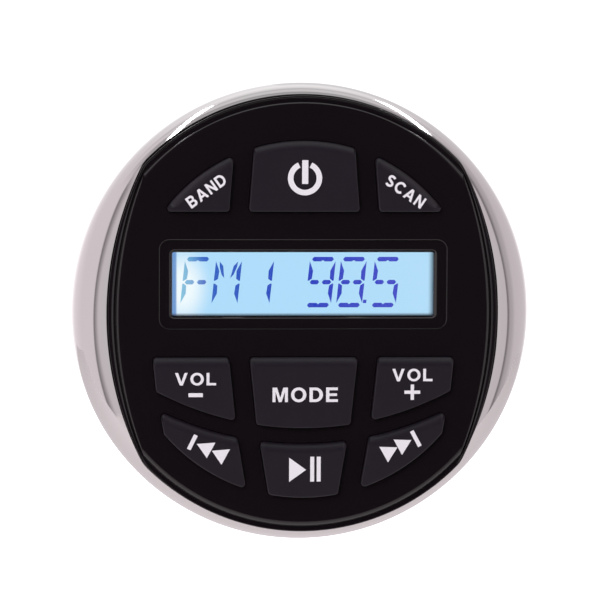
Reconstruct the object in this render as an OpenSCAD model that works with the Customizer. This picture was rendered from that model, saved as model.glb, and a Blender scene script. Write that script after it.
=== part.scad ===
// Round panel-mount stereo receiver with nine push keys and a segment display.
// The dash surface is the XZ plane, the front looks along -Y and +Z is up.
// Shapes are drawn on the face: x to the right, y up and z towards the viewer, then stood up.

/* [Barrel and mounting] */
// Diameter of the barrel that goes through the dash hole
barrel_d = 84; // [80:0.5:92]
// Depth of the barrel behind the dash surface
barrel_depth = 45; // [42:1:70]
// Wall of the barrel
barrel_wall = 2.2; // [1.6:0.1:3]
// Collar that centres the gasket on the barrel
collar_w = 0.5; // [0.3:0.1:1]
// Width of the flange, from the barrel outwards
flange_w = 5.5; // [5:0.1:8]
// Thickness of the flange
flange_t = 3; // [2.6:0.1:5]
// Thickness of the mounting gasket
gasket_t = 1.5; // [0.8:0.1:3]
// Distance of the gasket's edge inside the bezel's edge
gasket_inset = 1; // [0.5:0.1:2]
// Radius of the four posts inside the barrel
post_r = 3.2; // [2.8:0.1:4]
// Distance between the two mounting studs
stud_spacing = 66; // [60:1:68]
// Height of the studs above the axis
stud_y = 10; // [6:1:14]
// Diameter of the studs
stud_d = 4; // [3:0.5:5]
// Diameter of the studs' shanks in the cover
stud_shank_d = 5; // [4.5:0.5:6]
// Length of the studs behind the rear cover
stud_length = 22; // [12:1:40]
// Width of the studs' hexagon across corners
stud_hex_d = 8; // [7:0.5:9]
// Thickness of the studs' hexagon
stud_hex_t = 2.5; // [1.5:0.5:4]

/* [Bezel] */
// Width of the chrome ring above and below the face
bezel_w = 2.8; // [2:0.1:5]
// Radius of the domed edge
dome_r = 10; // [9:0.5:14]
// Straight rim behind the dome
rim_h = 1.5; // [0.8:0.1:4]

/* [Face panel] */
// Overhang of the face beyond the flange
face_overhang = 0.7; // [0.4:0.1:1.5]
// Radius of the face that the places of keys, display, board parts and sockets are drawn for
layout_r = 48.2; // [44:0.1:54]
// Depth of the cuts at the left and right of the round face
side_cut = 5.15; // [3:0.05:6]
// Radius of the bulged left and right edges
side_r = 72.8; // [60:0.2:120]
// Rise of the plateau above the chrome at the sides
plateau_rise = 0.9; // [0.8:0.1:2]
// Drawn-in width of the wall above and below the plateau
shoulder_w = 0.8; // [0.4:0.1:1.2]
// Width of the ledge at the left and right of the plateau
side_shoulder_w = 1.4; // [0.6:0.1:2]
// Width of the chamfer round the plateau
chamfer_w = 1; // [0.5:0.1:1.5]
// Height of the chamfer round the plateau
chamfer_h = 0.8; // [0.4:0.1:0.8]
// Thickness of the front wall
face_wall = 2.2; // [2:0.1:3]
// Thickness of the side wall
skirt_wall = 2.5; // [2:0.1:3]
// Thickness of the seal under the face
panel_seal_t = 0.6; // [0.4:0.1:1]
// Radius of the bosses for the face screws
face_boss_r = 2.2; // [2:0.1:2.5]
// Angle between neighbouring face screws
face_screw_angle = 32; // [25:1:38]

/* [Keys] */
// Height of the keys above the plateau
key_proud = 1.9; // [1:0.1:3]
// Gap round each key in its opening
key_gap = 0.35; // [0.2:0.05:0.6]
// Travel of a key
key_stroke = 0.8; // [0.3:0.1:1]
// Radius of the keys' corners
key_corner_r = 0.8; // [0.3:0.1:1.2]
// Width of the stop flange round the foot of a key
key_flange_w = 1.2; // [0.8:0.1:1.4]
// Thickness of the stop flange
key_flange_t = 1; // [0.6:0.1:1.2]
// Distance of the upper keys inside the round face
upper_margin = 9.6; // [8:0.1:12]
// Gap between the window opening and the upper keys
upper_row_gap = 8.4; // [8:0.05:10]
// Half width of the power key along its bottom edge
upper_half_w = 12.15; // [9:0.05:14]
// Lean of the upper keys' sides
upper_lean_angle = 4.5; // [0:0.5:8]
// Gap between the upper keys
upper_key_gap = 4.3; // [3.5:0.1:6]
// Gap between the window opening and the middle keys
middle_row_gap = 8.35; // [8:0.05:10]
// Half width of the mode key along its top edge
middle_half_w = 11.9; // [9:0.1:14]
// Lean of the middle keys' sides
middle_lean_angle = 6; // [0:0.5:10]
// Gap between the middle keys
middle_key_gap = 4.5; // [3.5:0.1:6]
// Half width of the middle row along its top edge
middle_row_half_w = 33.15; // [30:0.05:34]
// Height of the middle row at its middle
middle_row_h = 15.55; // [14:0.05:17]
// Radius of the middle row's curved bottom edge
row_arc_r = 68.2; // [55:0.2:90]
// Gap between the middle and the lower row
row_gap = 3.6; // [3:0.1:5]
// Distance of the lower keys inside the round face
lower_margin = 8; // [7.6:0.1:10]
// Half width of the play key along its top edge
lower_half_w = 9.55; // [8:0.05:12]
// Lean of the lower keys' sides
lower_lean_angle = 9.8; // [0:0.2:14]
// Gap between the lower keys
lower_key_gap = 4.7; // [3.5:0.1:6]
// Half width of the lower row at its outer corners
lower_row_half_w = 31.1; // [28:0.1:33]
// Height of those corners above the middle of the row's top edge
lower_corner_rise = 5; // [4:0.5:7]

/* [Push switches] */
// Width of a switch body
switch_w = 6; // [5:0.1:6.5]
// Height of a switch body
switch_h = 2.5; // [2:0.1:2.8]
// Diameter of a plunger
plunger_d = 3.5; // [2.5:0.1:4]
// Height of a plunger above its switch at rest
plunger_proud = 0.95; // [0.9:0.05:1.1]
// Running clearance round a plunger
plunger_fit = 0.05; // [0.02:0.01:0.1]
// Shift of the outer switches from their keys' tips towards the middle
switch_shift = 2.2; // [1.8:0.1:2.8]

/* [Display] */
// Width of the window opening
window_w = 58.9; // [50:0.1:60]
// Height of the window opening
window_h = 15.3; // [12:0.1:17]
// Height of the window's centre above the axis
window_y = 6.75; // [6:0.05:8]
// Width of the bevel round the window
window_bevel_w = 2.2; // [1:0.1:2.5]
// Depth of the bevel round the window
window_bevel_d = 1; // [0.5:0.1:1.2]
// Corner radius of the bevel's outer edge
window_bevel_r = 2; // [0.5:0.1:3]
// Thickness of the lens
lens_t = 0.8; // [0.5:0.1:0.9]
// Border of the lens behind the face
lens_border = 1.2; // [0.6:0.1:2]
// Border of the display glass behind the face
lcd_border = 1; // [0.6:0.1:1.5]
// Thickness of the display glass
lcd_t = 2.4; // [1.8:0.1:2.8]
// Wall of the display frame
lcd_frame_wall = 1.4; // [1:0.1:1.5]
// Distance of the light guide inside the display glass's edges
guide_inset = 1; // [0.8:0.1:2]
// Length of the space for the lamps at the left of the light guide
lamp_space = 3.4; // [3.2:0.1:5]
// Size of a lamp: length, height on the face and thickness
lamp_size = [2.4, 3, 1.6]; // [1:0.1:3]
// Distance between the lamps
lamp_spacing = 7; // [5:0.5:9]
// Number of display legs
lcd_pin_count = 14; // [8:1:20]
// Distance between display legs
lcd_pin_pitch = 2.54; // [2:0.01:2.54]
// Diameter of a display leg
lcd_pin_d = 0.5; // [0.3:0.1:0.6]

/* [Boards] */
// Thickness of both printed boards
board_t = 1.6; // [1:0.1:2]
// Room between the face and the key board
key_board_room = 5; // [4.8:0.1:6]
// Radius of the bosses that carry the key board
board_boss_r = 1.9; // [1.7:0.1:2]
// Distance of those bosses to the left and right of the axis
board_boss_x = 24; // [20:0.5:25]
// Depth of the main board's front behind the dash surface
main_board_depth = 24; // [22:0.5:26]
// Width of the riser between the boards
riser_w = 24; // [16:1:26]
// Height of the riser above the axis
riser_y = -8; // [-10:0.5:-6]
// Length of the headers that hold the riser
header_w = 28; // [27:0.5:30]
// Thickness of the headers
header_t = 6; // [4:0.5:7]
// Height of the headers
header_h = 6; // [4:0.5:8]
// Floor under the riser in a header
header_floor = 1; // [0.6:0.1:2]

/* [Main board parts] */
// Size of the amplifier chip
amplifier_size = [20, 16, 3]; // [2:0.5:22]
// Height of the amplifier chip above the axis
amplifier_y = 13; // [11:0.5:15]
// Size of the heat pad
pad_size = [18, 14, 0.5]; // [0.3:0.1:20]
// Size of the tuner module
tuner_size = [22, 16, 6]; // [4:0.5:24]
// Place of the tuner module
tuner_at = [-14, 13]; // [-15:0.5:14]
// Size of the wireless module
wireless_size = [16, 12, 2.4]; // [2:0.1:17]
// Place of the wireless module
wireless_at = [14, 14]; // [12:0.5:15]
// Size of the processor
processor_size = [14, 14, 1.6]; // [1:0.1:15]
// Place of the processor
processor_at = [0, -24]; // [-25:0.5:4]
// Diameter of a capacitor
capacitor_d = 10; // [6:0.5:11]
// Height of a capacitor
capacitor_h = 16; // [8:1:20]
// Place of the inner capacitor on the right, mirrored to the left
inner_capacitor_at = [22, -12]; // [-13:0.5:23]
// Place of the outer capacitor on the right, mirrored to the left
outer_capacitor_at = [31, -2]; // [-3:0.5:32]

/* [Rear cover] */
// Thickness of the cover
cover_t = 3.5; // [3:0.1:5]
// Thickness of the cover's seal
cover_seal_t = 0.8; // [0.5:0.1:1.5]
// Width of the cover's seal
cover_seal_w = 1.2; // [1:0.1:1.6]
// Edge of the cover inside the barrel's outside
cover_inset = 1; // [0.6:0.1:1.2]
// Size of the pillar that meets the heat pad
pillar_size = [22, 18]; // [14:0.5:22]
// Number of fins
fin_count = 7; // [3:2:7]
// Thickness of a fin
fin_t = 1.6; // [1:0.1:2.5]
// Distance between fins
fin_pitch = 5.2; // [4:0.1:6]
// Height of the fins
fin_h = 8; // [4:0.5:15]
// Lower end of the fins above the axis
fin_low_y = 2; // [0:0.5:8]
// Distance of the fins' upper ends inside the cover's edge
fin_margin = 3; // [2:0.5:8]

/* [Sockets] */
// Size of the harness socket on the cover
harness_size = [24, 13]; // [12:0.5:26]
// Height of the harness socket above the axis
harness_y = -20; // [-22:0.5:-18]
// Wall of the harness socket
harness_wall = 1.5; // [1:0.1:2.5]
// Depth of the harness socket's opening
harness_depth = 14; // [10:0.5:18]
// Pins in one of the harness socket's two rows
harness_pin_count = 8; // [4:1:8]
// Distance between harness pins
harness_pin_pitch = 2.3; // [2:0.1:2.4]
// Diameter of a harness pin
harness_pin_d = 0.9; // [0.6:0.1:1.2]
// Length of a harness pin
harness_pin_length = 6; // [4:0.5:8]
// Outer diameter of the antenna socket
antenna_d = 11; // [10.4:0.1:12]
// Bore of the antenna socket
antenna_bore_d = 8.6; // [8:0.1:9.2]
// Depth of the antenna socket's bore
antenna_depth = 14; // [8:0.5:18]
// Place of the antenna socket
antenna_at = [-25, -6]; // [-27:0.5:-3]
// Diameter of the antenna contact
antenna_contact_d = 2.4; // [1.6:0.1:3]
// Length of the antenna contact
antenna_contact_length = 4; // [2:0.5:6]
// Diameter of a line output shell
line_out_d = 8.2; // [8:0.1:8.6]
// Bore of a line output shell
line_out_bore_d = 3.2; // [3:0.1:3.6]
// Place of the pair of line output sockets
line_out_at = [24, -6]; // [-8:0.5:26]
// Distance between the two line output sockets
line_out_spacing = 12; // [11:0.5:14]
// Size of the block that carries them
line_block_size = [11, 25]; // [9:0.5:26]
// Length of all sockets behind the rear cover
socket_proud = 8; // [5:0.5:12]

/* [Screws] */
// Diameter of the small screws in the face
small_screw_d = 2; // [1.6:0.1:2.2]
// Diameter of the small screws' heads
small_head_d = 3.8; // [3:0.1:4]
// Height of the small screws' heads
small_head_h = 1.4; // [1:0.1:1.5]
// Length of the small screws in their bosses
small_screw_length = 4; // [3:0.5:4.5]
// Diameter of the screws in the posts
screw_d = 2.5; // [2:0.1:3]
// Diameter of those screws' heads
head_d = 5; // [4:0.1:5.6]
// Height of those screws' heads
head_h = 1.8; // [1.2:0.1:2.4]
// Length of those screws in the posts
screw_length = 7; // [5:0.5:8]
// Room beyond a screw's tip in its hole
tip_room = 0.5; // [0.3:0.1:1]

/* [Fits] */
// Clearance round a screw or stud in its hole
screw_fit = 0.05; // [0.02:0.01:0.2]
// Clearance between fixed pieces that slip together
slip_fit = 0.1; // [0.05:0.01:0.2]
// Clearance round the sockets in the cover
socket_fit = 0.3; // [0.2:0.05:0.6]
// Clearance round the gasket
gasket_fit = 0.3; // [0.2:0.05:0.6]
// Clearance round the boards
board_fit = 1; // [0.6:0.1:2]
// Depth to which a rib or post sinks into its wall
weld_depth = 0.4; // [0.2:0.1:0.8]

/* [Hidden] */
$fn = 96;
// Segments of a full circle in the keys' curved edges
arc_fn = 240;
// Larger than any half of the face, for cutting shapes along a line
far = 200;
// Depth of cut added where a hole leaves a face
over = 1;
// Thickness of the slices that the window's bevel spans
slice = 0.01;

KEY_NAMES = ["band", "power", "preset", "volume_down", "mode", "volume_up", "previous", "play", "next"];
KEY_NODES = [for (name = KEY_NAMES) str("key_", name)];
PLUNGER_NODES = [for (name = KEY_NAMES) str("plunger_", name)];

// Radii, from the barrel outwards
barrel_r = barrel_d / 2;
bore_r = barrel_r - barrel_wall;
flange_r = barrel_r + flange_w;
face_r = flange_r + face_overhang;
bezel_r = face_r + bezel_w;
face_half_w = face_r - side_cut;
// Distance of each bulged edge's centre from the axis, on the other side
side_centre = face_half_w - side_r;

// Share by which the layout is larger or smaller than drawn
layout = face_r / layout_r;

// Heights above the dash surface, from the gasket forwards
flange_front = gasket_t + flange_t;
rim_top = gasket_t + rim_h;
function dome_h(r) = rim_top + sqrt(dome_r * dome_r - pow(r - (bezel_r - dome_r), 2));
seat_h = flange_front + panel_seal_t;
face_top = dome_h(face_half_w) + plateau_rise;
shoulder_h = face_top - chamfer_h;
face_rear = face_top - face_wall;
behind_face = face_rear - slip_fit;
key_board_front = face_rear - key_board_room;
key_board_rear = key_board_front - board_t;

// Heights behind the dash surface
main_board_front = -main_board_depth;
main_board_rear = main_board_front - board_t;
barrel_end = -barrel_depth;
cover_front = barrel_end - cover_seal_t;
cover_rear = cover_front - cover_t;
socket_end = cover_rear - socket_proud;

// Places of the screws and posts
face_screw_r = barrel_r + flange_w / 2;
face_screw_at = [
    for (base = [90, 270], k = [-1, 0, 1]) on_circle(face_screw_r, base + k * face_screw_angle)
];
post_ring_r = bore_r - post_r + weld_depth;
post_at = [for (angle = [45, 135, 225, 315]) on_circle(post_ring_r, angle)];
post_tip_r = post_r - weld_depth - slip_fit;
hole_r = screw_d / 2 + screw_fit;
small_hole_r = small_screw_d / 2 + screw_fit;
opening = [window_w * layout, window_h * layout];
opening_y = window_y * layout;
lens_size = [opening[0] + 2 * lens_border, opening[1] + 2 * lens_border];
lcd_w = opening[0] + 2 * lcd_border;
lcd_h = opening[1] + 2 * lcd_border;
lcd_frame_w = lcd_w + 2 * (slip_fit + lcd_frame_wall);
lcd_frame_h = lcd_h + 2 * (slip_fit + lcd_frame_wall);

// Keys: edges of the rows, each row's sides and the corners at its right end
upper_row_y = opening_y + opening[1] / 2 + upper_row_gap * layout;
middle_row_y = opening_y - opening[1] / 2 - middle_row_gap * layout;
middle_row_low_y = middle_row_y - middle_row_h * layout;
upper_r = face_r - upper_margin * layout;
lower_r = face_r - lower_margin * layout;
middle_low_r = row_arc_r * layout;
row_arc_y = middle_row_low_y + middle_low_r;
lower_row_top_r = middle_low_r + row_gap * layout;
lower_row_y = row_arc_y - lower_row_top_r;
middle_corner = [middle_row_half_w * layout, middle_row_y];
lower_corner = [lower_row_half_w * layout, lower_row_y + lower_corner_rise * layout];
// Row: half width of its middle key, height of that width, lean of the sides, gap between keys
ROW_SIDES = [
    [upper_half_w * layout, upper_row_y, upper_lean_angle, upper_key_gap * layout],
    [middle_half_w * layout, middle_row_y, -middle_lean_angle, middle_key_gap * layout],
    [lower_half_w * layout, lower_row_y, -lower_lean_angle, lower_key_gap * layout]
];
// Bosses of the key board, halfway between the display frame and the keys above and below it
upper_boss_y = (upper_row_y - key_flange_w + opening_y + lcd_frame_h / 2) / 2;
lower_boss_y = (middle_row_y + key_flange_w + opening_y - lcd_frame_h / 2) / 2;
board_boss_at = [
    for (side = [-1, 1], y = [upper_boss_y, lower_boss_y]) [side * board_boss_x * layout, y]
];
key_top = face_top + key_proud;
key_flange_top = behind_face;
key_flange_rear = key_flange_top - key_flange_t;
plunger_top = key_board_front + switch_h + plunger_proud;
plunger_low = key_board_front + key_stroke + 2 * slip_fit;
// Places of each row's switches, at the middle and at the right
function outer_key_x(row) = ROW_SIDES[row][0] + ROW_SIDES[row][3];
upper_tip_x = sqrt(upper_r * upper_r - upper_row_y * upper_row_y);
upper_switch_x = (outer_key_x(0) + upper_tip_x) / 2 - switch_shift;
upper_switch_y = (upper_row_y + upper_r) / 2;
middle_switch_x = (outer_key_x(1) + middle_corner[0]) / 2;
middle_switch_y = (middle_row_y + middle_row_low_y) / 2;
lower_switch_x = (outer_key_x(2) + lower_corner[0]) / 2 - switch_shift;
lower_switch_y = (lower_row_y - lower_r) / 2;
SWITCH_AT = [
    [[0, upper_switch_y], [upper_switch_x, upper_switch_y - switch_shift]],
    [[0, middle_switch_y], [middle_switch_x, middle_switch_y + switch_shift]],
    [[0, lower_switch_y], [lower_switch_x, lower_row_y - switch_shift]]
];

// Places on the main board and the cover
riser_at = [0, riser_y] * layout;
amplifier_at = [0, amplifier_y] * layout;
harness_at = [0, harness_y] * layout;
capacitor_at = [
    for (at = [inner_capacitor_at, outer_capacitor_at], side = [-1, 1])
        [side * at[0], at[1]] * layout
];
line_outs = [for (k = [-1, 1]) line_out_at * layout + [0, k * line_out_spacing / 2]];
studs = [for (k = [-1, 1]) [k * stud_spacing / 2, stud_y] * layout];
harness_cavity = [harness_size[0] - 2 * harness_wall, harness_size[1] - 2 * harness_wall];

// Stands a shape drawn on the face up in the dash plane
module stand() {
    rotate([90, 0, 0]) children();
}

// Plate of a shape drawn on the face, between two heights
module plate(low, high) {
    translate([0, 0, low]) linear_extrude(high - low) children();
}

// Rod at a place on the face, between two heights
module rod(at, r, low, high) {
    translate([at[0], at[1], low]) cylinder(r = r, h = high - low);
}

// Block at a place on the face, between two heights
module block(at, size, low, high) {
    translate([at[0] - size[0] / 2, at[1] - size[1] / 2, low]) cube([size[0], size[1], high - low]);
}

function on_circle(r, angle) = [r * cos(angle), r * sin(angle)];

// Screw whose head lies on a surface and whose shank points up (way = 1) or down (way = -1)
module screw(at, surface, way, shank_d, shank_length, cap_d, cap_h) {
    shank_end = surface + way * shank_length;
    cap_end = surface - way * cap_h;
    rod(at, shank_d / 2, min(surface, shank_end), max(surface, shank_end));
    rod(at, cap_d / 2, min(surface, cap_end), max(surface, cap_end));
}

// Outline of the face, drawn in by an inset
module face_outline(inset) {
    intersection() {
        circle(r = face_r - inset);
        translate([side_centre, 0]) circle(r = side_r - inset);
        translate([-side_centre, 0]) circle(r = side_r - inset);
    }
}

// Turned body with the shoulder and chamfer of the plateau's edge
module shouldered(r, seam_h, draw_in) {
    rotate_extrude()
        polygon([
            [0, seat_h],
            [r, seat_h],
            [r, seam_h],
            [r - draw_in, shoulder_h],
            [r - draw_in - chamfer_w, face_top],
            [0, face_top]
        ]);
}

// Part of the face to the left of a leaning line
module left_of(x, y, lean, grow) {
    translate([x, y]) rotate(lean) translate([-far, -far]) square([far + grow, 2 * far]);
}

// Part of the face to the right of a leaning line
module right_of(x, y, lean, grow) {
    translate([x, y]) rotate(lean) translate([-grow, -far]) square([far + grow, 2 * far]);
}

// Band of the face that a row of keys fills
module row_band(row, grow) {
    if (row == 0) {
        intersection() {
            circle(r = upper_r + grow, $fn = arc_fn);
            translate([-far, upper_row_y - grow]) square([2 * far, far]);
        }
    } else if (row == 1) {
        intersection() {
            translate([0, row_arc_y]) circle(r = middle_low_r + grow, $fn = arc_fn);
            translate([-far, middle_row_y + grow - far]) square([2 * far, far]);
            left_of(middle_corner[0], middle_corner[1], -middle_lean_angle, grow);
        }
    } else {
        intersection() {
            difference() {
                circle(r = lower_r + grow, $fn = arc_fn);
                translate([0, row_arc_y]) circle(r = lower_row_top_r - grow, $fn = arc_fn);
            }
            translate([-far, -far]) square([2 * far, far]);
            left_of(lower_corner[0], lower_corner[1], -lower_lean_angle, grow);
        }
    }
}

// Outline of a key, numbered from the upper left, made larger all round by grow
module key_outline(number, grow) {
    row = floor(number / 3);
    column = number % 3 - 1;
    sides = ROW_SIDES[row];
    intersection() {
        mirror([column < 0 ? 1 : 0, 0]) row_band(row, grow);
        if (column == 0) {
            intersection() {
                left_of(sides[0], sides[1], sides[2], grow);
                mirror([1, 0]) left_of(sides[0], sides[1], sides[2], grow);
            }
        } else {
            mirror([column < 0 ? 1 : 0, 0])
                right_of(sides[0] + sides[3], sides[1], sides[2], grow);
        }
    }
}

module rounded_key_outline(number, grow) {
    offset(r = key_corner_r, $fn = 24) offset(delta = -key_corner_r) key_outline(number, grow);
}

// Place of a key's switch
function switch_at(number) =
    let (row = floor(number / 3), column = number % 3 - 1, at = SWITCH_AT[row][abs(column)])
    [column < 0 ? -at[0] : at[0], at[1]];

module key_cap(number) {
    color("#25222a") stand() {
        plate(key_flange_rear, key_top) rounded_key_outline(number, 0);
        plate(key_flange_rear, key_flange_top) key_outline(number, key_flange_w);
        rod(switch_at(number), plunger_d / 2, plunger_top, key_flange_rear);
    }
}

module plunger(number) {
    color("ivory") stand() rod(switch_at(number), plunger_d / 2, plunger_low, plunger_top);
}

module switch_bodies() {
    color("dimgray") stand()
        for (number = [0 : len(KEY_NAMES) - 1])
            difference() {
                block(
                    switch_at(number), [switch_w, switch_w],
                    key_board_front, key_board_front + switch_h
                );
                rod(
                    switch_at(number), plunger_d / 2 + plunger_fit,
                    key_board_front - over, key_board_front + switch_h + over
                );
            }
}

module bezel_ring() {
    color("silver") stand()
        difference() {
            rotate_extrude() {
                translate([0, gasket_t]) square([bezel_r, rim_h]);
                translate([0, rim_top]) square([bezel_r - dome_r, dome_r]);
                translate([bezel_r - dome_r, rim_top])
                    intersection() {
                        circle(r = dome_r);
                        square(dome_r);
                    }
            }
            plate(flange_front, rim_top + dome_r + over) face_outline(-slip_fit);
            rod([0, 0], flange_r + slip_fit, gasket_t - over, flange_front);
        }
}

// Bevelled window opening, with the seat of the lens behind it
module window_cut() {
    bevel_w = opening[0] / 2 + window_bevel_w - window_bevel_r;
    bevel_h = opening[1] / 2 + window_bevel_w - window_bevel_r;
    hull() {
        for (x = [-bevel_w, bevel_w], y = [-bevel_h, bevel_h])
            translate([x, opening_y + y, face_top]) cylinder(r = window_bevel_r, h = slice, $fn = 24);
        block([0, opening_y], opening, face_top - window_bevel_d, face_top);
    }
    block([0, opening_y], opening, face_rear - over, face_top);
    block(
        [0, opening_y], lens_size + [2 * slip_fit, 2 * slip_fit],
        face_rear - over, face_rear + lens_t
    );
}

module face_panel() {
    color("#141216") stand()
        difference() {
            union() {
                difference() {
                    intersection() {
                        shouldered(face_r, dome_h(face_r), shoulder_w);
                        translate([side_centre, 0, 0])
                            shouldered(side_r, dome_h(face_half_w), side_shoulder_w);
                        translate([-side_centre, 0, 0])
                            shouldered(side_r, dome_h(face_half_w), side_shoulder_w);
                    }
                    plate(seat_h - over, face_rear) face_outline(skirt_wall);
                }
                for (at = face_screw_at)
                    rod(at, face_boss_r, seat_h, face_rear + weld_depth);
                for (at = board_boss_at)
                    rod(at, board_boss_r, key_board_front, face_rear + weld_depth);
            }
            for (number = [0 : len(KEY_NAMES) - 1])
                plate(face_rear - over, face_top + over) key_outline(number, key_gap);
            window_cut();
            for (at = face_screw_at)
                rod(at, small_hole_r, seat_h - over, seat_h + small_screw_length + tip_room);
            for (at = board_boss_at)
                rod(
                    at, small_hole_r,
                    key_board_front - over, key_board_front + small_screw_length + tip_room
                );
        }
}

module display_window() {
    color("lightblue", 0.4) stand()
        block([0, opening_y], lens_size, face_rear, face_rear + lens_t);
}

module lcd_glass() {
    color("#a8dcff") stand()
        block([0, opening_y], [lcd_w, lcd_h], behind_face - lcd_t, behind_face);
}

module lcd_frame() {
    color("white") stand()
        difference() {
            block([0, opening_y], [lcd_frame_w, lcd_frame_h], key_board_front, behind_face);
            block(
                [0, opening_y], [lcd_w + 2 * slip_fit, lcd_h + 2 * slip_fit],
                key_board_front - over, behind_face + over
            );
        }
}

module light_guide() {
    color("aliceblue") stand()
        block(
            [lamp_space / 2, opening_y], [lcd_w - lamp_space, lcd_h - 2 * guide_inset],
            key_board_front, behind_face - lcd_t - slip_fit
        );
}

module backlight_leds() {
    color("lightyellow") stand()
        for (k = [-1, 1])
            block(
                [-lcd_w / 2 + lamp_space / 2, opening_y + k * lamp_spacing / 2], lamp_size,
                key_board_front, key_board_front + lamp_size[2]
            );
}

module lcd_pins() {
    pin_y = opening_y - lcd_h / 2 + lcd_pin_d;
    color("silver") stand()
        for (k = [0 : lcd_pin_count - 1])
            rod(
                [(k - (lcd_pin_count - 1) / 2) * lcd_pin_pitch, pin_y], lcd_pin_d / 2,
                key_board_front, behind_face - lcd_t
            );
}

module key_board() {
    board_r = face_screw_r - face_boss_r - board_fit;
    color("darkgreen") stand()
        difference() {
            plate(key_board_rear, key_board_front)
                intersection() {
                    circle(r = board_r);
                    face_outline(skirt_wall + board_fit);
                }
            for (at = board_boss_at)
                rod(at, small_hole_r, key_board_rear - over, key_board_front + over);
        }
}

module key_board_screws() {
    color("silver") stand()
        for (at = board_boss_at)
            screw(
                at, key_board_rear, 1, small_screw_d, small_screw_length + board_t,
                small_head_d, small_head_h
            );
}

module panel_screws() {
    color("silver") stand()
        for (at = face_screw_at)
            screw(
                at, gasket_t + small_head_h, 1, small_screw_d,
                seat_h - gasket_t - small_head_h + small_screw_length, small_head_d, small_head_h
            );
}

module panel_seal() {
    color("black") stand()
        plate(flange_front, seat_h)
            difference() {
                face_outline(face_overhang / 2);
                face_outline(skirt_wall);
                for (at = face_screw_at)
                    translate(at) circle(r = face_boss_r);
            }
}

module mount_gasket() {
    color("#1c1c1c") stand()
        difference() {
            rod([0, 0], bezel_r - gasket_inset, 0, gasket_t);
            rod([0, 0], barrel_r + collar_w + gasket_fit, -over, gasket_t + over);
        }
}

module rear_housing() {
    color("#1e1e20") stand()
        difference() {
            union() {
                difference() {
                    union() {
                        rod([0, 0], flange_r, gasket_t, flange_front);
                        rod([0, 0], barrel_r + collar_w, 0, gasket_t + over);
                        rod([0, 0], barrel_r, barrel_end, gasket_t + over);
                    }
                    rod([0, 0], bore_r, barrel_end - over, flange_front + over);
                }
                for (at = post_at) {
                    rod(at, post_r, barrel_end, main_board_rear);
                    rod(at, post_tip_r, cover_front, barrel_end + over);
                }
            }
            for (at = post_at) {
                rod(at, hole_r, main_board_rear - screw_length - tip_room, main_board_rear + over);
                rod(at, hole_r, cover_front - over, cover_front + screw_length + tip_room);
            }
            for (at = face_screw_at) {
                rod(at, small_hole_r, 0, flange_front + over);
                rod(at, small_head_d / 2 + slip_fit, 0, gasket_t + small_head_h);
            }
        }
}

module main_board() {
    color("darkgreen") stand()
        difference() {
            rod([0, 0], bore_r - board_fit, main_board_rear, main_board_front);
            for (at = post_at)
                rod(at, hole_r, main_board_rear - over, main_board_front + over);
        }
}

module main_board_screws() {
    color("silver") stand()
        for (at = post_at)
            screw(at, main_board_front, -1, screw_d, screw_length + board_t, head_d, head_h);
}

module link_board() {
    color("darkgreen") stand()
        block(
            riser_at, [riser_w, board_t],
            main_board_front + header_floor, key_board_rear - header_floor
        );
}

module link_headers() {
    color("#202020") stand()
        difference() {
            union() {
                block(riser_at, [header_w, header_t], main_board_front, main_board_front + header_h);
                block(riser_at, [header_w, header_t], key_board_rear - header_h, key_board_rear);
            }
            block(
                riser_at, [riser_w + 2 * slip_fit, board_t + 2 * slip_fit],
                main_board_front + header_floor, key_board_rear - header_floor
            );
        }
}

module amplifier_chip() {
    color("#222222") stand()
        block(amplifier_at, amplifier_size, main_board_rear - amplifier_size[2], main_board_rear);
}

module thermal_pad() {
    pad_front = main_board_rear - amplifier_size[2];
    color("lightgray") stand()
        block(amplifier_at, pad_size, pad_front - pad_size[2], pad_front);
}

module tuner_module() {
    color("silver") stand()
        block(tuner_at * layout, tuner_size, main_board_front, main_board_front + tuner_size[2]);
}

module wireless_module() {
    color("seagreen") stand()
        block(wireless_at * layout, wireless_size, main_board_front, main_board_front + wireless_size[2]);
}

module processor_chip() {
    color("#222222") stand()
        block(
            processor_at * layout, processor_size,
            main_board_front, main_board_front + processor_size[2]
        );
}

module capacitors() {
    color("midnightblue") stand()
        for (at = capacitor_at)
            rod(at, capacitor_d / 2, main_board_front, main_board_front + capacitor_h);
}

// Heat-sink fins, cut off inside the cover's edge
module fins() {
    intersection() {
        rod([0, 0], barrel_r - fin_margin, cover_rear - fin_h, cover_rear + weld_depth);
        for (k = [0 : fin_count - 1])
            translate([(k - (fin_count - 1) / 2) * fin_pitch - fin_t / 2, fin_low_y, cover_rear - fin_h])
                cube([fin_t, far, fin_h + weld_depth]);
    }
}

module rear_cover() {
    pillar_end = main_board_rear - amplifier_size[2] - pad_size[2];
    color("gray") stand()
        difference() {
            union() {
                rod([0, 0], barrel_r - cover_inset, cover_rear, cover_front);
                block(amplifier_at, pillar_size, cover_front - weld_depth, pillar_end);
                fins();
            }
            block(
                harness_at, [harness_size[0] + 2 * socket_fit, harness_size[1] + 2 * socket_fit],
                cover_rear - over, cover_front + over
            );
            rod(antenna_at * layout, antenna_d / 2 + socket_fit, cover_rear - over, cover_front + over);
            for (at = line_outs)
                rod(at, line_out_d / 2 + socket_fit, cover_rear - over, cover_front + over);
            for (at = studs)
                rod(at, stud_shank_d / 2 + screw_fit, cover_rear - over, cover_front + over);
            for (at = post_at)
                rod(at, hole_r, cover_rear - over, cover_front + over);
        }
}

module cover_seal() {
    seal_r = barrel_r - cover_inset;
    color("black") stand()
        difference() {
            rod([0, 0], seal_r, cover_front, barrel_end);
            rod([0, 0], seal_r - cover_seal_w, cover_front - over, barrel_end + over);
        }
}

module cover_screws() {
    color("silver") stand()
        for (at = post_at)
            screw(at, cover_rear, 1, screw_d, cover_t + screw_length, head_d, head_h);
}

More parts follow.
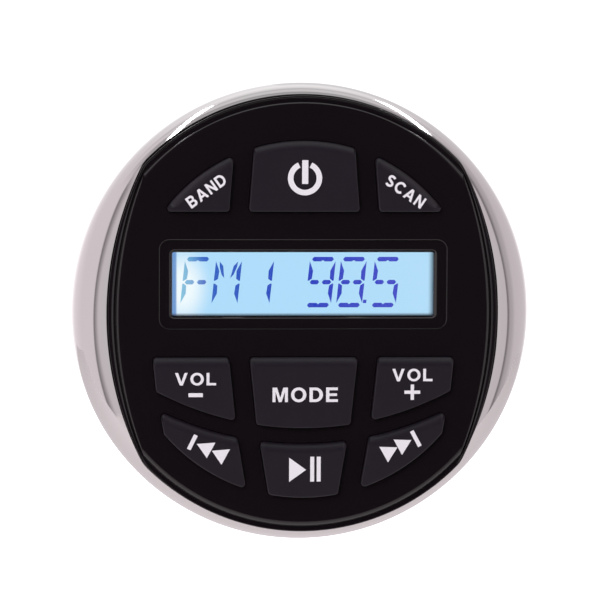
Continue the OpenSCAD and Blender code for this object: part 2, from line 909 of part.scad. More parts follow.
module harness_socket() {
    color("#26262a") stand()
        difference() {
            block(harness_at, harness_size, socket_end, main_board_rear);
            block(
                harness_at, harness_cavity,
                socket_end - over, socket_end + harness_depth
            );
        }
}

module harness_pins() {
    floor_h = socket_end + harness_depth;
    color("gold") stand()
        for (k = [0 : harness_pin_count - 1], side = [-1, 1])
            rod(
                [
                    (k - (harness_pin_count - 1) / 2) * harness_pin_pitch,
                    harness_at[1] + side * harness_cavity[1] / 4
                ],
                harness_pin_d / 2, floor_h - harness_pin_length, floor_h
            );
}

module antenna_socket() {
    color("silver") stand()
        difference() {
            rod(antenna_at * layout, antenna_d / 2, socket_end, main_board_rear);
            rod(antenna_at * layout, antenna_bore_d / 2, socket_end - over, socket_end + antenna_depth);
        }
}

module antenna_contact() {
    floor_h = socket_end + antenna_depth;
    color("gold") stand()
        rod(antenna_at * layout, antenna_contact_d / 2, floor_h - antenna_contact_length, floor_h);
}

module line_out_block() {
    color("#26262a") stand()
        block(line_out_at * layout, line_block_size, cover_front + socket_fit, main_board_rear);
}

module line_out_shells() {
    color("silver") stand()
        for (at = line_outs)
            difference() {
                rod(at, line_out_d / 2, socket_end, cover_front + socket_fit);
                rod(at, line_out_bore_d / 2, socket_end - over, cover_rear);
            }
}

module mount_studs() {
    color("silver") stand()
        for (at = studs) {
            rod(at, stud_d / 2, cover_rear - stud_length, cover_rear);
            rod(at, stud_shank_d / 2, cover_rear - over, cover_front);
            translate([at[0], at[1], cover_rear - stud_hex_t])
                cylinder(d = stud_hex_d, h = stud_hex_t, $fn = 6);
        }
}

bezel_ring();
face_panel();
display_window();
lcd_glass();
lcd_frame();
light_guide();
backlight_leds();
lcd_pins();
switch_bodies();
key_board();
key_board_screws();
panel_screws();
panel_seal();
mount_gasket();
rear_housing();
main_board();
main_board_screws();
link_board();
link_headers();
amplifier_chip();
thermal_pad();
tuner_module();
wireless_module();
processor_chip();
capacitors();
rear_cover();
cover_seal();
cover_screws();
harness_socket();
harness_pins();
antenna_socket();
antenna_contact();
line_out_block();
line_out_shells();
mount_studs();
for (number = [0 : len(KEY_NAMES) - 1]) {
    key_cap(number);
    plunger(number);
}
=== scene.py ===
"""Round panel-mount stereo receiver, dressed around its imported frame.

Pieces are drawn on the face, with x to the right, y up and h towards the viewer, all in metres.
"""

import math

import bmesh
import bpy
from bpy.props import FloatProperty, FloatVectorProperty, PointerProperty
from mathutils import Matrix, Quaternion, Vector


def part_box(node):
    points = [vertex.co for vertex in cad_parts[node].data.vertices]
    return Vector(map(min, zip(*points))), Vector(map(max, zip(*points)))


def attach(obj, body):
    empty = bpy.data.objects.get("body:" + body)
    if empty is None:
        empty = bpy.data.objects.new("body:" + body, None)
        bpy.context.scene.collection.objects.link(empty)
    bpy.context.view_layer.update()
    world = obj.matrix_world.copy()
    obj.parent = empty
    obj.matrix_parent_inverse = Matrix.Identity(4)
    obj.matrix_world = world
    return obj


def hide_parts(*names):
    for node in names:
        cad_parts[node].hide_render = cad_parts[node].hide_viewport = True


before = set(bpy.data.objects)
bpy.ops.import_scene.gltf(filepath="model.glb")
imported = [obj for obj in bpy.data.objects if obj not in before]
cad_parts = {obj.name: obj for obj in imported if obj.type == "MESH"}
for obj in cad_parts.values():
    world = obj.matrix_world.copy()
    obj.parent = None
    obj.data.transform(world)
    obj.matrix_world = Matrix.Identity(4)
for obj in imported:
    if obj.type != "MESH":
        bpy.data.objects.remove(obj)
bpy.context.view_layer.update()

bl_info = {
    "name": "Round stereo receiver",
    "version": (1, 0, 0),
    "blender": (4, 5, 0),
    "location": "3D View > Sidebar > Receiver",
    "description": "Builds a round stereo receiver with push keys around its packed frame",
    "category": "Object",
}

MM = 0.001
TURN = 2 * math.pi

# Heights above the dash surface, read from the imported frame
FACE_TOP = -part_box("face_panel")[0].y
FACE_SEAT = -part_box("face_panel")[1].y
KEY_TOP = -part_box("key_power")[0].y
LENS_FRONT = -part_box("display_window")[0].y
LENS_REAR = -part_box("display_window")[1].y
CELL_FRONT = -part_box("lcd_glass")[0].y
CELL_REAR = -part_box("lcd_glass")[1].y
BEZEL_REAR = -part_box("bezel_ring")[1].y
FLANGE_FRONT = -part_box("rear_housing")[0].y
COVER_FRONT = -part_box("cover_seal")[1].y
SOCKET_END = -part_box("antenna_socket")[1].y
STUD_END = -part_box("mount_studs")[1].y


def linear(hex_colour):
    """Linear colour of an sRGB hex value."""
    channels = [int(hex_colour[i : i + 2], 16) / 255 for i in (1, 3, 5)]
    return tuple(c / 12.92 if c <= 0.04045 else ((c + 0.055) / 1.055) ** 2.4 for c in channels)


def length(name, description, millimetres):
    """Property for a length, given in millimetres."""
    return FloatProperty(
        name=name, description=description, default=millimetres * MM, subtype="DISTANCE", unit="LENGTH"
    )


def angle(name, description, degrees):
    """Property for an angle, given in degrees."""
    return FloatProperty(
        name=name, description=description, default=math.radians(degrees), subtype="ANGLE", unit="ROTATION"
    )


def tint(name, description, hex_colour):
    """Property for a colour, given as an sRGB hex value."""
    return FloatVectorProperty(
        name=name, description=description, default=linear(hex_colour), subtype="COLOR", size=3, min=0, max=1
    )


class ReceiverSizes(bpy.types.PropertyGroup):
    """Sizes of the receiver's visible pieces and of the view"""

    bezel_r: length("Bezel radius", "Radius of the chrome ring's edge", 51)
    dome_r: length("Dome radius", "Radius of the ring's domed section", 10)
    dome_foot: length("Dome foot", "Height of the dome's foot above the dash", 3)
    face_r: length("Face radius", "Radius of the round part of the face", 48.15)
    face_half_w: length("Face half width", "Half width of the face between its bulged sides", 42.95)
    side_r: length("Side radius", "Radius of the face's bulged sides", 72.8)
    face_blend: length("Corner blend", "Distance over which round edge and side flow together", 0.35)
    corner_blend: length("Front corner blend", "The same at the sharper corners of the front", 0.1)
    skirt_wall: length("Skirt wall", "Thickness of the face's side wall", 2.5)
    face_wall: length("Face wall", "Thickness of the face's front wall", 2.2)
    seam: length("Seam", "Gap between the face and the chrome", 0.1)
    edge_ease: length("Edge easing", "Rounding of the face's moulded edges", 0.09)
    front_ease: length("Front rounding", "Width of the rounded edge round the front", 1.2)
    side_ease: length("Side rounding", "Width of the front's rounded edge at the sides", 0.6)
    key_corner: length("Key corner radius", "Radius of the keys' corners", 0.8)
    key_ease: length("Key edge rounding", "Rounding of the keys' side and lower edges", 0.22)
    key_slope_w: length("Key slope width", "Width of the rounding at the keys' upper edges", 1.85)
    key_slope_d: length("Key slope drop", "Drop of the rounding at the keys' upper edges", 1.4)
    key_gap: length("Key gap", "Gap round each key", 0.1)
    key_flange_w: length("Key flange width", "Width of a key's hidden stop flange", 1.2)
    key_flange_t: length("Key flange thickness", "Thickness of a key's hidden stop flange", 1)
    window_half_w: length("Window half width", "Half width of the window opening", 29.45)
    window_half_h: length("Window half height", "Half height of the window opening", 7.65)
    window_y: length("Window height", "Height of the window's centre above the axis", 6.75)
    window_recess_w: length("Window recess width", "Width of the recess round the window", 2.3)
    window_lip_w: length("Window lip width", "Width of the sloping lip inside the window", 0.65)
    figure_w: length("Figure width", "Width of a display figure", 5.75)
    figure_h: length("Figure height", "Height of a display figure", 11.1)
    figure_slant: angle("Figure slant", "Slant of the display figures", 6)
    ink_t: length("Ink thickness", "Thickness of the printed legends", 0.03)
    cover_t: length("Cover thickness", "Thickness of the rear cover", 3.5)
    cover_r: length("Cover radius", "Radius of the rear cover", 41)
    view_azimuth: angle("View azimuth", "Direction of the camera round the receiver", -4.2)
    view_elevation: angle("View elevation", "Height of the camera above the horizon", 4.7)
    view_roll: angle("View roll", "Turn of the camera about its own line of sight", 0.28)
    view_distance: length("View distance", "Distance of the camera", 720)
    floor_drop: length("Floor drop", "Depth of the floor below the axis", 260)


class ReceiverColours(bpy.types.PropertyGroup):
    """Colours of the receiver's materials"""

    chrome: tint("Chrome", "Plated ring", "#cbc7c8")
    face: tint("Face", "Gloss black face", "#130e12")
    keys: tint("Keys", "Rubber of the keys", "#1c171f")
    ink: tint("Ink", "Printed legends", "#e6e2e9")
    picture: tint("Display", "Lit ground of the display", "#aedffc")
    picture_right: tint("Display right", "Lit ground at the display's right end", "#b4e1fb")
    picture_spot: tint("Display lamp", "Bright spot at the display's lamps", "#f3feff")
    picture_edge: tint("Display edge", "Dim left edge of the display", "#6b99d0")
    figure_lamp: tint("Figures at the lamps", "Display figures beside the lamps", "#4fbcd9")
    figure_left: tint("Figures left", "Display figures at the left", "#125cc0")
    figure_middle: tint("Figures middle", "Display figures at the middle", "#0832bc")
    figure_right: tint("Figures right", "Display figures at the right end", "#343fc3")
    housing: tint("Housing", "Moulded barrel", "#1c1c1e")
    rubber: tint("Rubber", "Seals and gasket", "#191919")
    cover: tint("Cover", "Cast rear cover", "#a3a5a8")
    zinc: tint("Zinc", "Plated steel fasteners", "#b4b5b6")
    nickel: tint("Nickel", "Plated sockets", "#cfcac0")
    gilt: tint("Gilt", "Contacts", "#d8b268")
    socket: tint("Socket plastic", "Black sockets", "#202023")
    red_ring: tint("Red ring", "Right line output's insulator", "#a81f22")
    white_ring: tint("White ring", "Left line output's insulator", "#dcdad4")
    board: tint("Board", "Solder resist on the boards", "#1d5a34")
    frame_white: tint("White plastic", "Display frame and plungers", "#e4e2dc")
    sleeve: tint("Sleeve", "Capacitor sleeves", "#26305e")
    pad: tint("Pad", "Heat pad", "#a6aab0")
    floor: tint("Floor", "Studio floor", "#fffafb")
    tent: tint("Tent", "Cloth of the light tent", "#fff7fb")


# Materials

# Finish: colour property, roughness, metallic, grain in mm, relief in mm, share by which colour and gloss vary
FINISHES = {
    # Chrome plate on moulded plastic: a clear mirror with the mould's slow waviness
    "chrome_plate": ("chrome", 0.07, 1.0, 9.0, 0.004, 0.03),
    # ABS from a polished tool: deep black gloss with a faint orange peel
    "polished_abs": ("face", 0.09, 0.0, 2.4, 0.0006, 0.12),
    # Soft-touch silicone rubber: dark and dull, with a fine even grain
    "silicone_rubber": ("keys", 0.4, 0.0, 0.35, 0.006, 0.1),
    # Screen-printed ink: flat off-white, a little thin in places
    "printed_ink": ("ink", 0.5, 0.0, 0.5, 0.002, 0.04),
    # ABS from a spark-eroded tool: dull black with an even pebble grain, drawn coarse enough to show
    "spark_textured_abs": ("housing", 0.52, 0.0, 0.7, 0.03, 0.18),
    # EPDM rubber: matt black with a dusty bloom
    "epdm_rubber": ("rubber", 0.82, 0.0, 1.1, 0.02, 0.3),
    # Die-cast aluminium, shot blasted: dull grey with a sandy grain
    "blasted_aluminium": ("cover", 0.46, 1.0, 0.6, 0.03, 0.1),
    # Zinc-plated steel: bright grey with cloudy passivation
    "zinc_plated_steel": ("zinc", 0.3, 1.0, 1.6, 0.003, 0.12),
    # Nickel plate on turned brass: warm and bright
    "nickel_plate": ("nickel", 0.16, 1.0, 1.2, 0.002, 0.05),
    # Gold-flashed contacts: yellow and bright
    "gilt_brass": ("gilt", 0.22, 1.0, 0.8, 0.001, 0.05),
    # Glass-filled PBT: dull black with fibre marks
    "filled_pbt": ("socket", 0.42, 0.0, 0.5, 0.008, 0.15),
    # Dyed nylon insulators: even colour, waxy
    "red_nylon": ("red_ring", 0.4, 0.0, 0.8, 0.004, 0.08),
    "white_nylon": ("white_ring", 0.4, 0.0, 0.8, 0.004, 0.05),
    # Polycarbonate with white filler: satin
    "white_polycarbonate": ("frame_white", 0.38, 0.0, 0.8, 0.003, 0.04),
    # Epoxy board under green solder resist: glossy over copper
    "solder_resist": ("board", 0.28, 0.0, 1.4, 0.02, 0.35),
    # Heat-shrunk PVC sleeve: smooth and glossy
    "shrunk_pvc": ("sleeve", 0.25, 0.0, 1.5, 0.003, 0.1),
    # Filled silicone pad: dull and soft
    "silicone_pad": ("pad", 0.7, 0.0, 0.6, 0.01, 0.08),
}


# Size of the cloudy patches in grains, and refraction of the plastics that differ from the usual 1.5
PATCH = 14
REFRACTION = {"silicone_rubber": 1.41, "polished_abs": 1.54, "filled_pbt": 1.58, "white_polycarbonate": 1.58}


def add(tree, kind, links=(), inputs=(), **settings):
    """Adds a shader node: its own settings, the values of its sockets, and the nodes or sockets that feed them."""
    node = tree.nodes.new("ShaderNode" + kind)
    for name, value in settings.items():
        setattr(node, name, value)
    for socket, value in dict(inputs).items():
        node.inputs[socket].default_value = value
    for socket, source in dict(links).items():
        feed = source.outputs[0] if isinstance(source, bpy.types.Node) else source
        tree.links.new(feed, node.inputs[socket])
    return node


def new_material(name):
    """Empty node material, with its tree and the place on the piece in metres."""
    made = bpy.data.materials.new(name)
    made.use_nodes = True
    made.node_tree.nodes.clear()
    places = add(made.node_tree, "TexCoord")
    return made, made.node_tree, places.outputs["Object"]


def shaded(colour, share):
    """Colour with an alpha, made lighter or darker by a share."""
    return tuple(min(1.0, c * (1 + share)) for c in colour) + (1.0,)


def finish(name):
    """Material of the finish table, made on first use."""
    known = bpy.data.materials.get(name)
    if known:
        return known
    colour_name, roughness, metallic, grain, relief, spread = FINISHES[name]
    colour = getattr(bpy.context.scene.receiver_colours, colour_name)
    made, tree, places = new_material(name)
    grains = add(
        tree, "TexNoise", {"Vector": places}, {"Scale": 1 / (grain * MM), "Detail": 3.0, "Roughness": 0.55}
    )
    patches = add(tree, "TexNoise", {"Vector": places}, {"Scale": 1 / (PATCH * grain * MM), "Detail": 4.0})
    both = add(tree, "Math", {0: grains, 1: patches}, {2: 0.25}, operation="MULTIPLY_ADD")
    toned = add(
        tree, "Mix", {0: both}, {6: shaded(colour, -spread), 7: shaded(colour, spread)}, data_type="RGBA"
    )
    gloss = add(
        tree, "MapRange", {"Value": both},
        {"To Min": roughness * (1 - spread), "To Max": roughness * (1 + spread)},
    )
    bumps = add(tree, "Bump", {"Height": grains}, {"Strength": 1.0, "Distance": relief * MM})
    shader = add(
        tree, "BsdfPrincipled", {"Base Color": toned.outputs[2], "Roughness": gloss, "Normal": bumps},
        {"Metallic": metallic, "IOR": REFRACTION.get(name, 1.5)},
    )
    add(tree, "OutputMaterial", {"Surface": shader})
    return made


def clear_acrylic():
    """Polished acrylic lens: clear, with the faintest haze."""
    made, tree, places = new_material("clear_acrylic")
    haze = add(tree, "TexNoise", {"Vector": places}, {"Scale": 1 / (4 * MM), "Detail": 3.0})
    gloss = add(tree, "MapRange", {"Value": haze}, {"To Min": 0.0, "To Max": 0.03})
    shader = add(
        tree, "BsdfPrincipled", {"Roughness": gloss},
        {"Base Color": (1, 1, 1, 1), "IOR": 1.49, "Transmission Weight": 1.0},
    )
    add(tree, "OutputMaterial", {"Surface": shader})
    return made


# Display in millimetres: where its left edge darkens, where its right and lower edges fade and the share of
# light left there, and between which places its figures change colour
LEFT_EDGE, RIGHT_EDGE, LOW_EDGE, EDGE_LIGHT = (-27.65, -28.05), (27.5, 29.1), (0.5, -0.35), 0.12
FIGURE_STOPS = {"figure_lamp": -27.5, "figure_left": -22, "figure_middle": 1, "figure_right": 20}
UNLIT = -0.95


def lamp_glow(tree, places):
    """Glow of the lamps behind the display's left end, from 1 at its middle to 0 outside."""
    x, z, half_w, half_h = -26.5 * MM, 6 * MM, 7 * MM, 10.5 * MM
    moved = add(
        tree, "Mapping", {"Vector": places},
        {"Location": (-x / half_w, 0, -z / half_h), "Scale": (1 / half_w, 0, 1 / half_h)},
    )
    fall = add(tree, "TexGradient", {"Vector": moved}, gradient_type="SPHERICAL")
    return add(
        tree, "MapRange", {"Value": fall.outputs["Fac"]}, {"From Max": 0.8}, interpolation_type="SMOOTHSTEP"
    )


def lit_ground():
    """Back-lit liquid crystal cell: pale blue, brightest at the lamps on its left and dim at its rims.
    It is bonded to the lens, so only the lens's front has a gloss."""
    colours = bpy.context.scene.receiver_colours
    made, tree, places = new_material("lit_display_ground")
    x, _, z = add(tree, "SeparateXYZ", {0: places}).outputs
    half_w = bpy.context.scene.receiver_sizes.window_half_w
    along = add(tree, "MapRange", {"Value": x}, {"From Min": 0.0, "From Max": half_w})
    ground = add(
        tree, "Mix", {0: along}, {6: shaded(colours.picture, 0), 7: shaded(colours.picture_right, 0)},
        data_type="RGBA",
    )
    inside, edge = LEFT_EDGE
    left = add(tree, "MapRange", {"Value": x}, {"From Min": inside * MM, "From Max": edge * MM})
    for share, colour in ((lamp_glow(tree, places), colours.picture_spot), (left, colours.picture_edge)):
        ground = add(
            tree, "Mix", {0: share, 6: ground.outputs[2]}, {7: shaded(colour, 0)}, data_type="RGBA"
        )
    right, low = [
        add(
            tree, "MapRange", {"Value": across},
            {"From Min": inside * MM, "From Max": edge * MM, "To Min": 1.0, "To Max": EDGE_LIGHT},
            interpolation_type="SMOOTHSTEP",
        )
        for across, (inside, edge) in ((x, RIGHT_EDGE), (z, LOW_EDGE))
    ]
    strength = add(tree, "Math", {0: right, 1: low}, operation="MULTIPLY")
    shader = add(
        tree, "BsdfPrincipled", {"Emission Color": ground.outputs[2], "Emission Strength": strength},
        {"Base Color": shaded(colours.figure_right, UNLIT), "Roughness": 0.4, "Specular IOR Level": 0.0},
    )
    add(tree, "OutputMaterial", {"Surface": shader})
    return made


def display_figure():
    """Switched-on liquid crystal: deep blue, paler by the lamps and turning violet at the right."""
    colours = bpy.context.scene.receiver_colours
    made, tree, places = new_material("display_figure_blue")
    x = add(tree, "SeparateXYZ", {0: places}).outputs["X"]
    first, last = min(FIGURE_STOPS.values()), max(FIGURE_STOPS.values())
    along = add(tree, "MapRange", {"Value": x}, {"From Min": first * MM, "From Max": last * MM})
    blue = add(tree, "ValToRGB", {"Fac": along})
    stops = blue.color_ramp.elements
    while len(stops) < len(FIGURE_STOPS):
        stops.new(0.5)
    for stop, (name, place) in zip(stops, FIGURE_STOPS.items()):
        stop.position = (place - first) / (last - first)
        stop.color = shaded(getattr(colours, name), 0)
    veil = add(tree, "Math", {0: lamp_glow(tree, places)}, {1: 0.2}, operation="MULTIPLY")
    veiled = add(tree, "Mix", {0: veil, 6: blue}, {7: shaded(colours.picture_spot, 0)}, data_type="RGBA")
    shader = add(
        tree, "BsdfPrincipled", {"Emission Color": veiled.outputs[2]},
        {
            "Base Color": shaded(colours.figure_right, UNLIT), "Emission Strength": 1.0, "Roughness": 0.4,
            "Specular IOR Level": 0.0,
        },
    )
    add(tree, "OutputMaterial", {"Surface": shader})
    return made


# Outlines on the face

def at(x, y, h):
    """Place in the frame of a point on the face."""
    return Vector((x, -h, y))


def mm(*values):
    """Point given in millimetres."""
    return Vector([v * MM for v in values])


def line_edge(x, y, lean, way):
    """Straight edge through a point, leaning by an angle; way is 1 where the inside is on its left."""
    return ("line", mm(x, y), way * Vector((math.cos(lean), math.sin(lean))))


def arc_edge(y, radius, way):
    """Curved edge about a point above the axis; way is 1 where the inside is towards that point."""
    return ("arc", mm(0, y), radius * MM, way)


def beyond(edge, p):
    """Distance of a point beyond an edge, and the way out there."""
    if edge[0] == "line":
        return (p - edge[1]).dot(edge[2]), edge[2]
    ray = p - edge[1]
    return edge[3] * (ray.length - edge[2]), edge[3] * ray.normalized()


def inner_corner(one, other, start, inset, other_inset):
    """Point that lies inside two edges by their insets, found from a rough start."""
    p = start.copy()
    for _ in range(30):
        d_one, n_one = beyond(one, p)
        d_other, n_other = beyond(other, p)
        e_one, e_other = -d_one - inset, -d_other - other_inset
        across = n_one.x * n_other.y - n_one.y * n_other.x
        p += Vector((e_one * n_other.y - e_other * n_one.y, n_one.x * e_other - n_other.x * e_one)) / across
    return p


def spine_of(edges, starts, insets, steps=None, fan=9):
    """Points inside a closed outline by an inset from each edge, anticlockwise, with the ways out of it.

    Edges follow each other anticlockwise, and starts are rough corners at their ends.
    """
    starts = [mm(*start) for start in starts]
    following = [(i + 1) % len(edges) for i in range(len(edges))]
    corners = [
        inner_corner(edges[i], edges[k], starts[i], insets[i], insets[k]) for i, k in enumerate(following)
    ]
    spine = []
    for i, edge in enumerate(edges):
        a, b = corners[i - 1], corners[i]
        count = steps or max(2, int((starts[i] - starts[i - 1]).length / (0.8 * MM)))
        for k in range(1, count):
            p = a.lerp(b, k / count)
            if edge[0] == "arc":
                p -= beyond(edge, p)[1] * (beyond(edge, p)[0] + insets[i])
            spine.append((p, beyond(edge, p)[1]))
        first = beyond(edge, b)[1]
        last = beyond(edges[following[i]], b)[1]
        turn = math.atan2(first.x * last.y - first.y * last.x, first.dot(last))
        base = math.atan2(first.y, first.x)
        for k in range(fan):
            out = base + turn * k / (fan - 1)
            spine.append((b, Vector((math.cos(out), math.sin(out)))))
    return spine


def box_spine(x, y, half_w, half_h, radius):
    """Spine of an upright rectangle with rounded corners."""
    edges = [
        ("line", Vector((x, y - half_h)), Vector((0, -1))),
        ("line", Vector((x + half_w, y)), Vector((1, 0))),
        ("line", Vector((x, y + half_h)), Vector((0, 1))),
        ("line", Vector((x - half_w, y)), Vector((-1, 0))),
    ]
    ways = [(1, -1), (1, 1), (-1, 1), (-1, -1)]
    ends = [((x + u * half_w) / MM, (y + v * half_h) / MM) for u, v in ways]
    return spine_of(edges, ends, [radius] * 4, steps=12)


def disc_spine(x, y, count=64):
    """Spine of a circle: its centre, with the ways out all round."""
    return [
        (Vector((x, y)), Vector((math.cos(TURN * k / count), math.sin(TURN * k / count)))) for k in range(count)
    ]


def loop(spine, reach, h):
    """Closed row of points at a reach out from a spine."""
    return [at(*(p + out * reach), h) for p, out in spine]


def curved(start, bend, end, steps):
    """Points along a curve between two points that leans towards a third."""
    shares = [k / steps for k in range(steps + 1)]
    return [tuple((1 - t) ** 2 * start + 2 * t * (1 - t) * bend + t**2 * end) for t in shares]


def eased(points, reach, steps=4):
    """Section whose inner points are rounded over a reach to either side."""
    made = [points[0]]
    for before, here, after in zip(points, points[1:], points[2:]):
        p, q, r = Vector(before), Vector(here), Vector(after)
        a = q + (p - q).normalized() * min(reach, (p - q).length / 2.2)
        b = q + (r - q).normalized() * min(reach, (r - q).length / 2.2)
        made += curved(a, q, b, steps)
    return made + [points[-1]]


def stack(spine, base, *steps):
    """Closed rows round a spine; each step is a reach and a height above a base, in millimetres."""
    return [loop(spine, reach * MM, base + h * MM) for reach, h in steps]


def rotated(x, y, turn):
    """Point turned about the origin."""
    return (x * math.cos(turn) - y * math.sin(turn), x * math.sin(turn) + y * math.cos(turn))


# Meshes

def band(bm, loops, close=False):
    """Faces between neighbouring rows of points; close joins the last row to the first."""
    rows = [[bm.verts.new(p) for p in points] for points in loops]
    pairs = list(zip(rows, rows[1:])) + ([(rows[-1], rows[0])] if close else [])
    for low, high in pairs:
        for i, vert in enumerate(low):
            bm.faces.new((low[i - 1], vert, high[i], high[i - 1]))
    return rows


def fill(bm, *rows):
    """Flat faces inside the first closed row and outside the others."""
    edges = [bm.edges.get((row[i - 1], vert)) for row in rows for i, vert in enumerate(row)]
    bmesh.ops.triangle_fill(bm, edges=edges, use_beauty=True)


def solid(bm, loops):
    """Closed body through rows of points."""
    rows = band(bm, loops)
    fill(bm, rows[0])
    fill(bm, rows[-1])


def pierced(bm, outer, holes):
    """Closed plate: its outside from one face to the other, and holes that go back from there."""
    wall = band(bm, outer)
    cuts = [band(bm, cut) for cut in holes]
    fill(bm, wall[-1], *[cut[0] for cut in cuts])
    fill(bm, wall[0], *[cut[-1] for cut in cuts])


def hollowed(bm, outer, hollow):
    """Closed body with a blind hollow: rows up its outside, and rows from there down into the hollow."""
    wall, pit = band(bm, outer), band(bm, hollow)
    fill(bm, wall[-1], pit[0])
    fill(bm, wall[0])
    fill(bm, pit[-1])


def piece(name, bm, material, body="receiver", replaces=(), sharp=40):
    """Object made of a finished mesh, riding on its body."""
    bmesh.ops.recalc_face_normals(bm, faces=bm.faces)
    mesh = bpy.data.meshes.new(name)
    bm.to_mesh(mesh)
    bm.free()
    mesh.shade_smooth()
    mesh.set_sharp_from_angle(angle=math.radians(sharp))
    mesh.materials.append(material)
    made = bpy.data.objects.new(name, mesh)
    bpy.context.scene.collection.objects.link(made)
    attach(made, body)
    if replaces:
        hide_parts(*replaces)
    return made


def dress(material, *nodes, bevel=0.0):
    """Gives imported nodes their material, and their edges a small bevel."""
    for name in nodes:
        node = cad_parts[name]
        node.data.materials.clear()
        node.data.materials.append(material)
        if bevel:
            modifier = node.modifiers.new("edge_bevel", "BEVEL")
            modifier.width = bevel
            modifier.segments = 2
            modifier.limit_method = "ANGLE"
            modifier.angle_limit = math.radians(50)


# The face and its chrome

EDGE_POINTS = 1440

# Bearing of the face's corners from its sides, and by what share a step from the sides is narrower there
CORNER_BEARING, CORNER_NARROWING = math.radians(42), 0.55
BLEND_LOSS = 0.3


def face_edge(turn, draw_in, side_draw_in):
    """Distance of the face's edge from the axis in a direction, and the share of the bulged side in it.

    Steps drawn in from the sides get narrower towards the corners.
    """
    s = bpy.context.scene.receiver_sizes
    round_r = s.face_r - draw_in
    offset = s.side_r - s.face_half_w
    along = -offset * abs(math.cos(turn))
    near_corner = min(1.0, math.asin(abs(math.sin(turn))) / CORNER_BEARING)
    narrowed = side_draw_in * (1 - CORNER_NARROWING * near_corner**2)
    side = along + math.sqrt(along**2 - offset**2 + (s.side_r - narrowed) ** 2)
    blend = max(s.corner_blend, s.face_blend - BLEND_LOSS * max(0, draw_in))
    share = min(1.0, max(0.0, 0.5 + 0.5 * (round_r - side) / blend))
    return round_r + (side - round_r) * share - blend * share * (1 - share), share


def turned(section):
    """Rows of points round the axis, from the section at each direction."""
    turns = [TURN * k / EDGE_POINTS for k in range(EDGE_POINTS)]
    sections = [section(turn) for turn in turns]
    return [
        [at(r * math.cos(turn), r * math.sin(turn), h) for turn, (r, h) in zip(turns, row)]
        for row in zip(*sections)
    ]


class ReceiverBezel(bpy.types.Operator):
    """Domed chrome ring, cut to the outline of the face"""

    bl_idname = "receiver.bezel"
    bl_label = "Bezel"

    def execute(self, context):
        s = context.scene.receiver_sizes
        steps, lip, rim_ease = 26, 0.16 * MM, 0.35 * MM
        crown_r = s.bezel_r - s.dome_r
        seat_r = 47.6 * MM

        def section(turn):
            inner = face_edge(turn, -s.seam, -s.seam)[0]
            start = math.acos((inner + lip - crown_r) / s.dome_r)
            dome = [start * (1 - k / steps) for k in range(steps + 1)]
            edge_h = s.dome_foot + s.dome_r * math.sin(start)
            return [
                (seat_r, BEZEL_REAR),
                (seat_r, FLANGE_FRONT),
                (inner, FLANGE_FRONT),
                (inner, edge_h - 2 * lip),
                (inner + 0.3 * lip, edge_h - 0.5 * lip),
                *[(crown_r + s.dome_r * math.cos(t), s.dome_foot + s.dome_r * math.sin(t)) for t in dome],
                (s.bezel_r, BEZEL_REAR + rim_ease),
                (s.bezel_r - 0.3 * rim_ease, BEZEL_REAR + 0.3 * rim_ease),
                (s.bezel_r - rim_ease, BEZEL_REAR),
            ]

        bm = bmesh.new()
        band(bm, turned(section), close=True)
        piece("chrome_bezel", bm, finish("chrome_plate"), replaces=["bezel_ring"])
        return {"FINISHED"}


# Rows of keys in millimetres
UPPER_R, UPPER_Y, UPPER_LEAN = 38.3, 22.8, math.radians(4.5)
MIDDLE_Y, MIDDLE_LEAN = -9.25, math.radians(-6)
LOWER_R, LOWER_Y, LOWER_LEAN = 40.2, -28.4, math.radians(-9.8)
ROW_ARC_Y, MIDDLE_ARC_R, LOWER_ARC_R = 43.4, 68.2, 71.8

# Key: its edges anticlockwise, and rough corners at their ends; outer keys are drawn on the right
CENTRE_KEYS = {
    "power": (
        [
            line_edge(0, UPPER_Y, math.radians(90), -1),
            line_edge(12.15, UPPER_Y, UPPER_LEAN, 1),
            arc_edge(0, UPPER_R, 1),
            line_edge(-12.15, UPPER_Y, -UPPER_LEAN, -1),
        ],
        [(12, 23), (11, 36), (-11, 36), (-12, 23)],
    ),
    "mode": (
        [
            line_edge(0, MIDDLE_Y, math.radians(90), 1),
            line_edge(-11.9, MIDDLE_Y, -MIDDLE_LEAN, -1),
            arc_edge(ROW_ARC_Y, MIDDLE_ARC_R, 1),
            line_edge(11.9, MIDDLE_Y, MIDDLE_LEAN, 1),
        ],
        [(-12, -10), (-10, -24), (10, -24), (12, -10)],
    ),
    "play": (
        [
            arc_edge(ROW_ARC_Y, LOWER_ARC_R, -1),
            line_edge(-9.55, LOWER_Y, -LOWER_LEAN, -1),
            arc_edge(0, LOWER_R, 1),
            line_edge(9.55, LOWER_Y, LOWER_LEAN, 1),
        ],
        [(-9, -28), (-8, -39), (8, -39), (9, -28)],
    ),
}
RIGHT_KEYS = {
    ("band", "preset"): (
        [
            line_edge(0, UPPER_Y, math.radians(90), -1),
            arc_edge(0, UPPER_R, 1),
            line_edge(16.45, UPPER_Y, UPPER_LEAN, -1),
        ],
        [(30, 23), (16, 34), (16, 23)],
    ),
    ("volume_down", "volume_up"): (
        [
            line_edge(0, MIDDLE_Y, math.radians(90), 1),
            line_edge(16.4, MIDDLE_Y, MIDDLE_LEAN, -1),
            arc_edge(ROW_ARC_Y, MIDDLE_ARC_R, 1),
            line_edge(33.15, MIDDLE_Y, MIDDLE_LEAN, 1),
        ],
        [(17, -10), (16, -22), (32, -17), (33, -10)],
    ),
    ("previous", "next"): (
        [
            arc_edge(ROW_ARC_Y, LOWER_ARC_R, -1),
            line_edge(14.25, LOWER_Y, LOWER_LEAN, -1),
            arc_edge(0, LOWER_R, 1),
            line_edge(31.1, -23.4, LOWER_LEAN, 1),
        ],
        [(14, -27), (13, -37), (30, -26), (31, -22)],
    ),
}


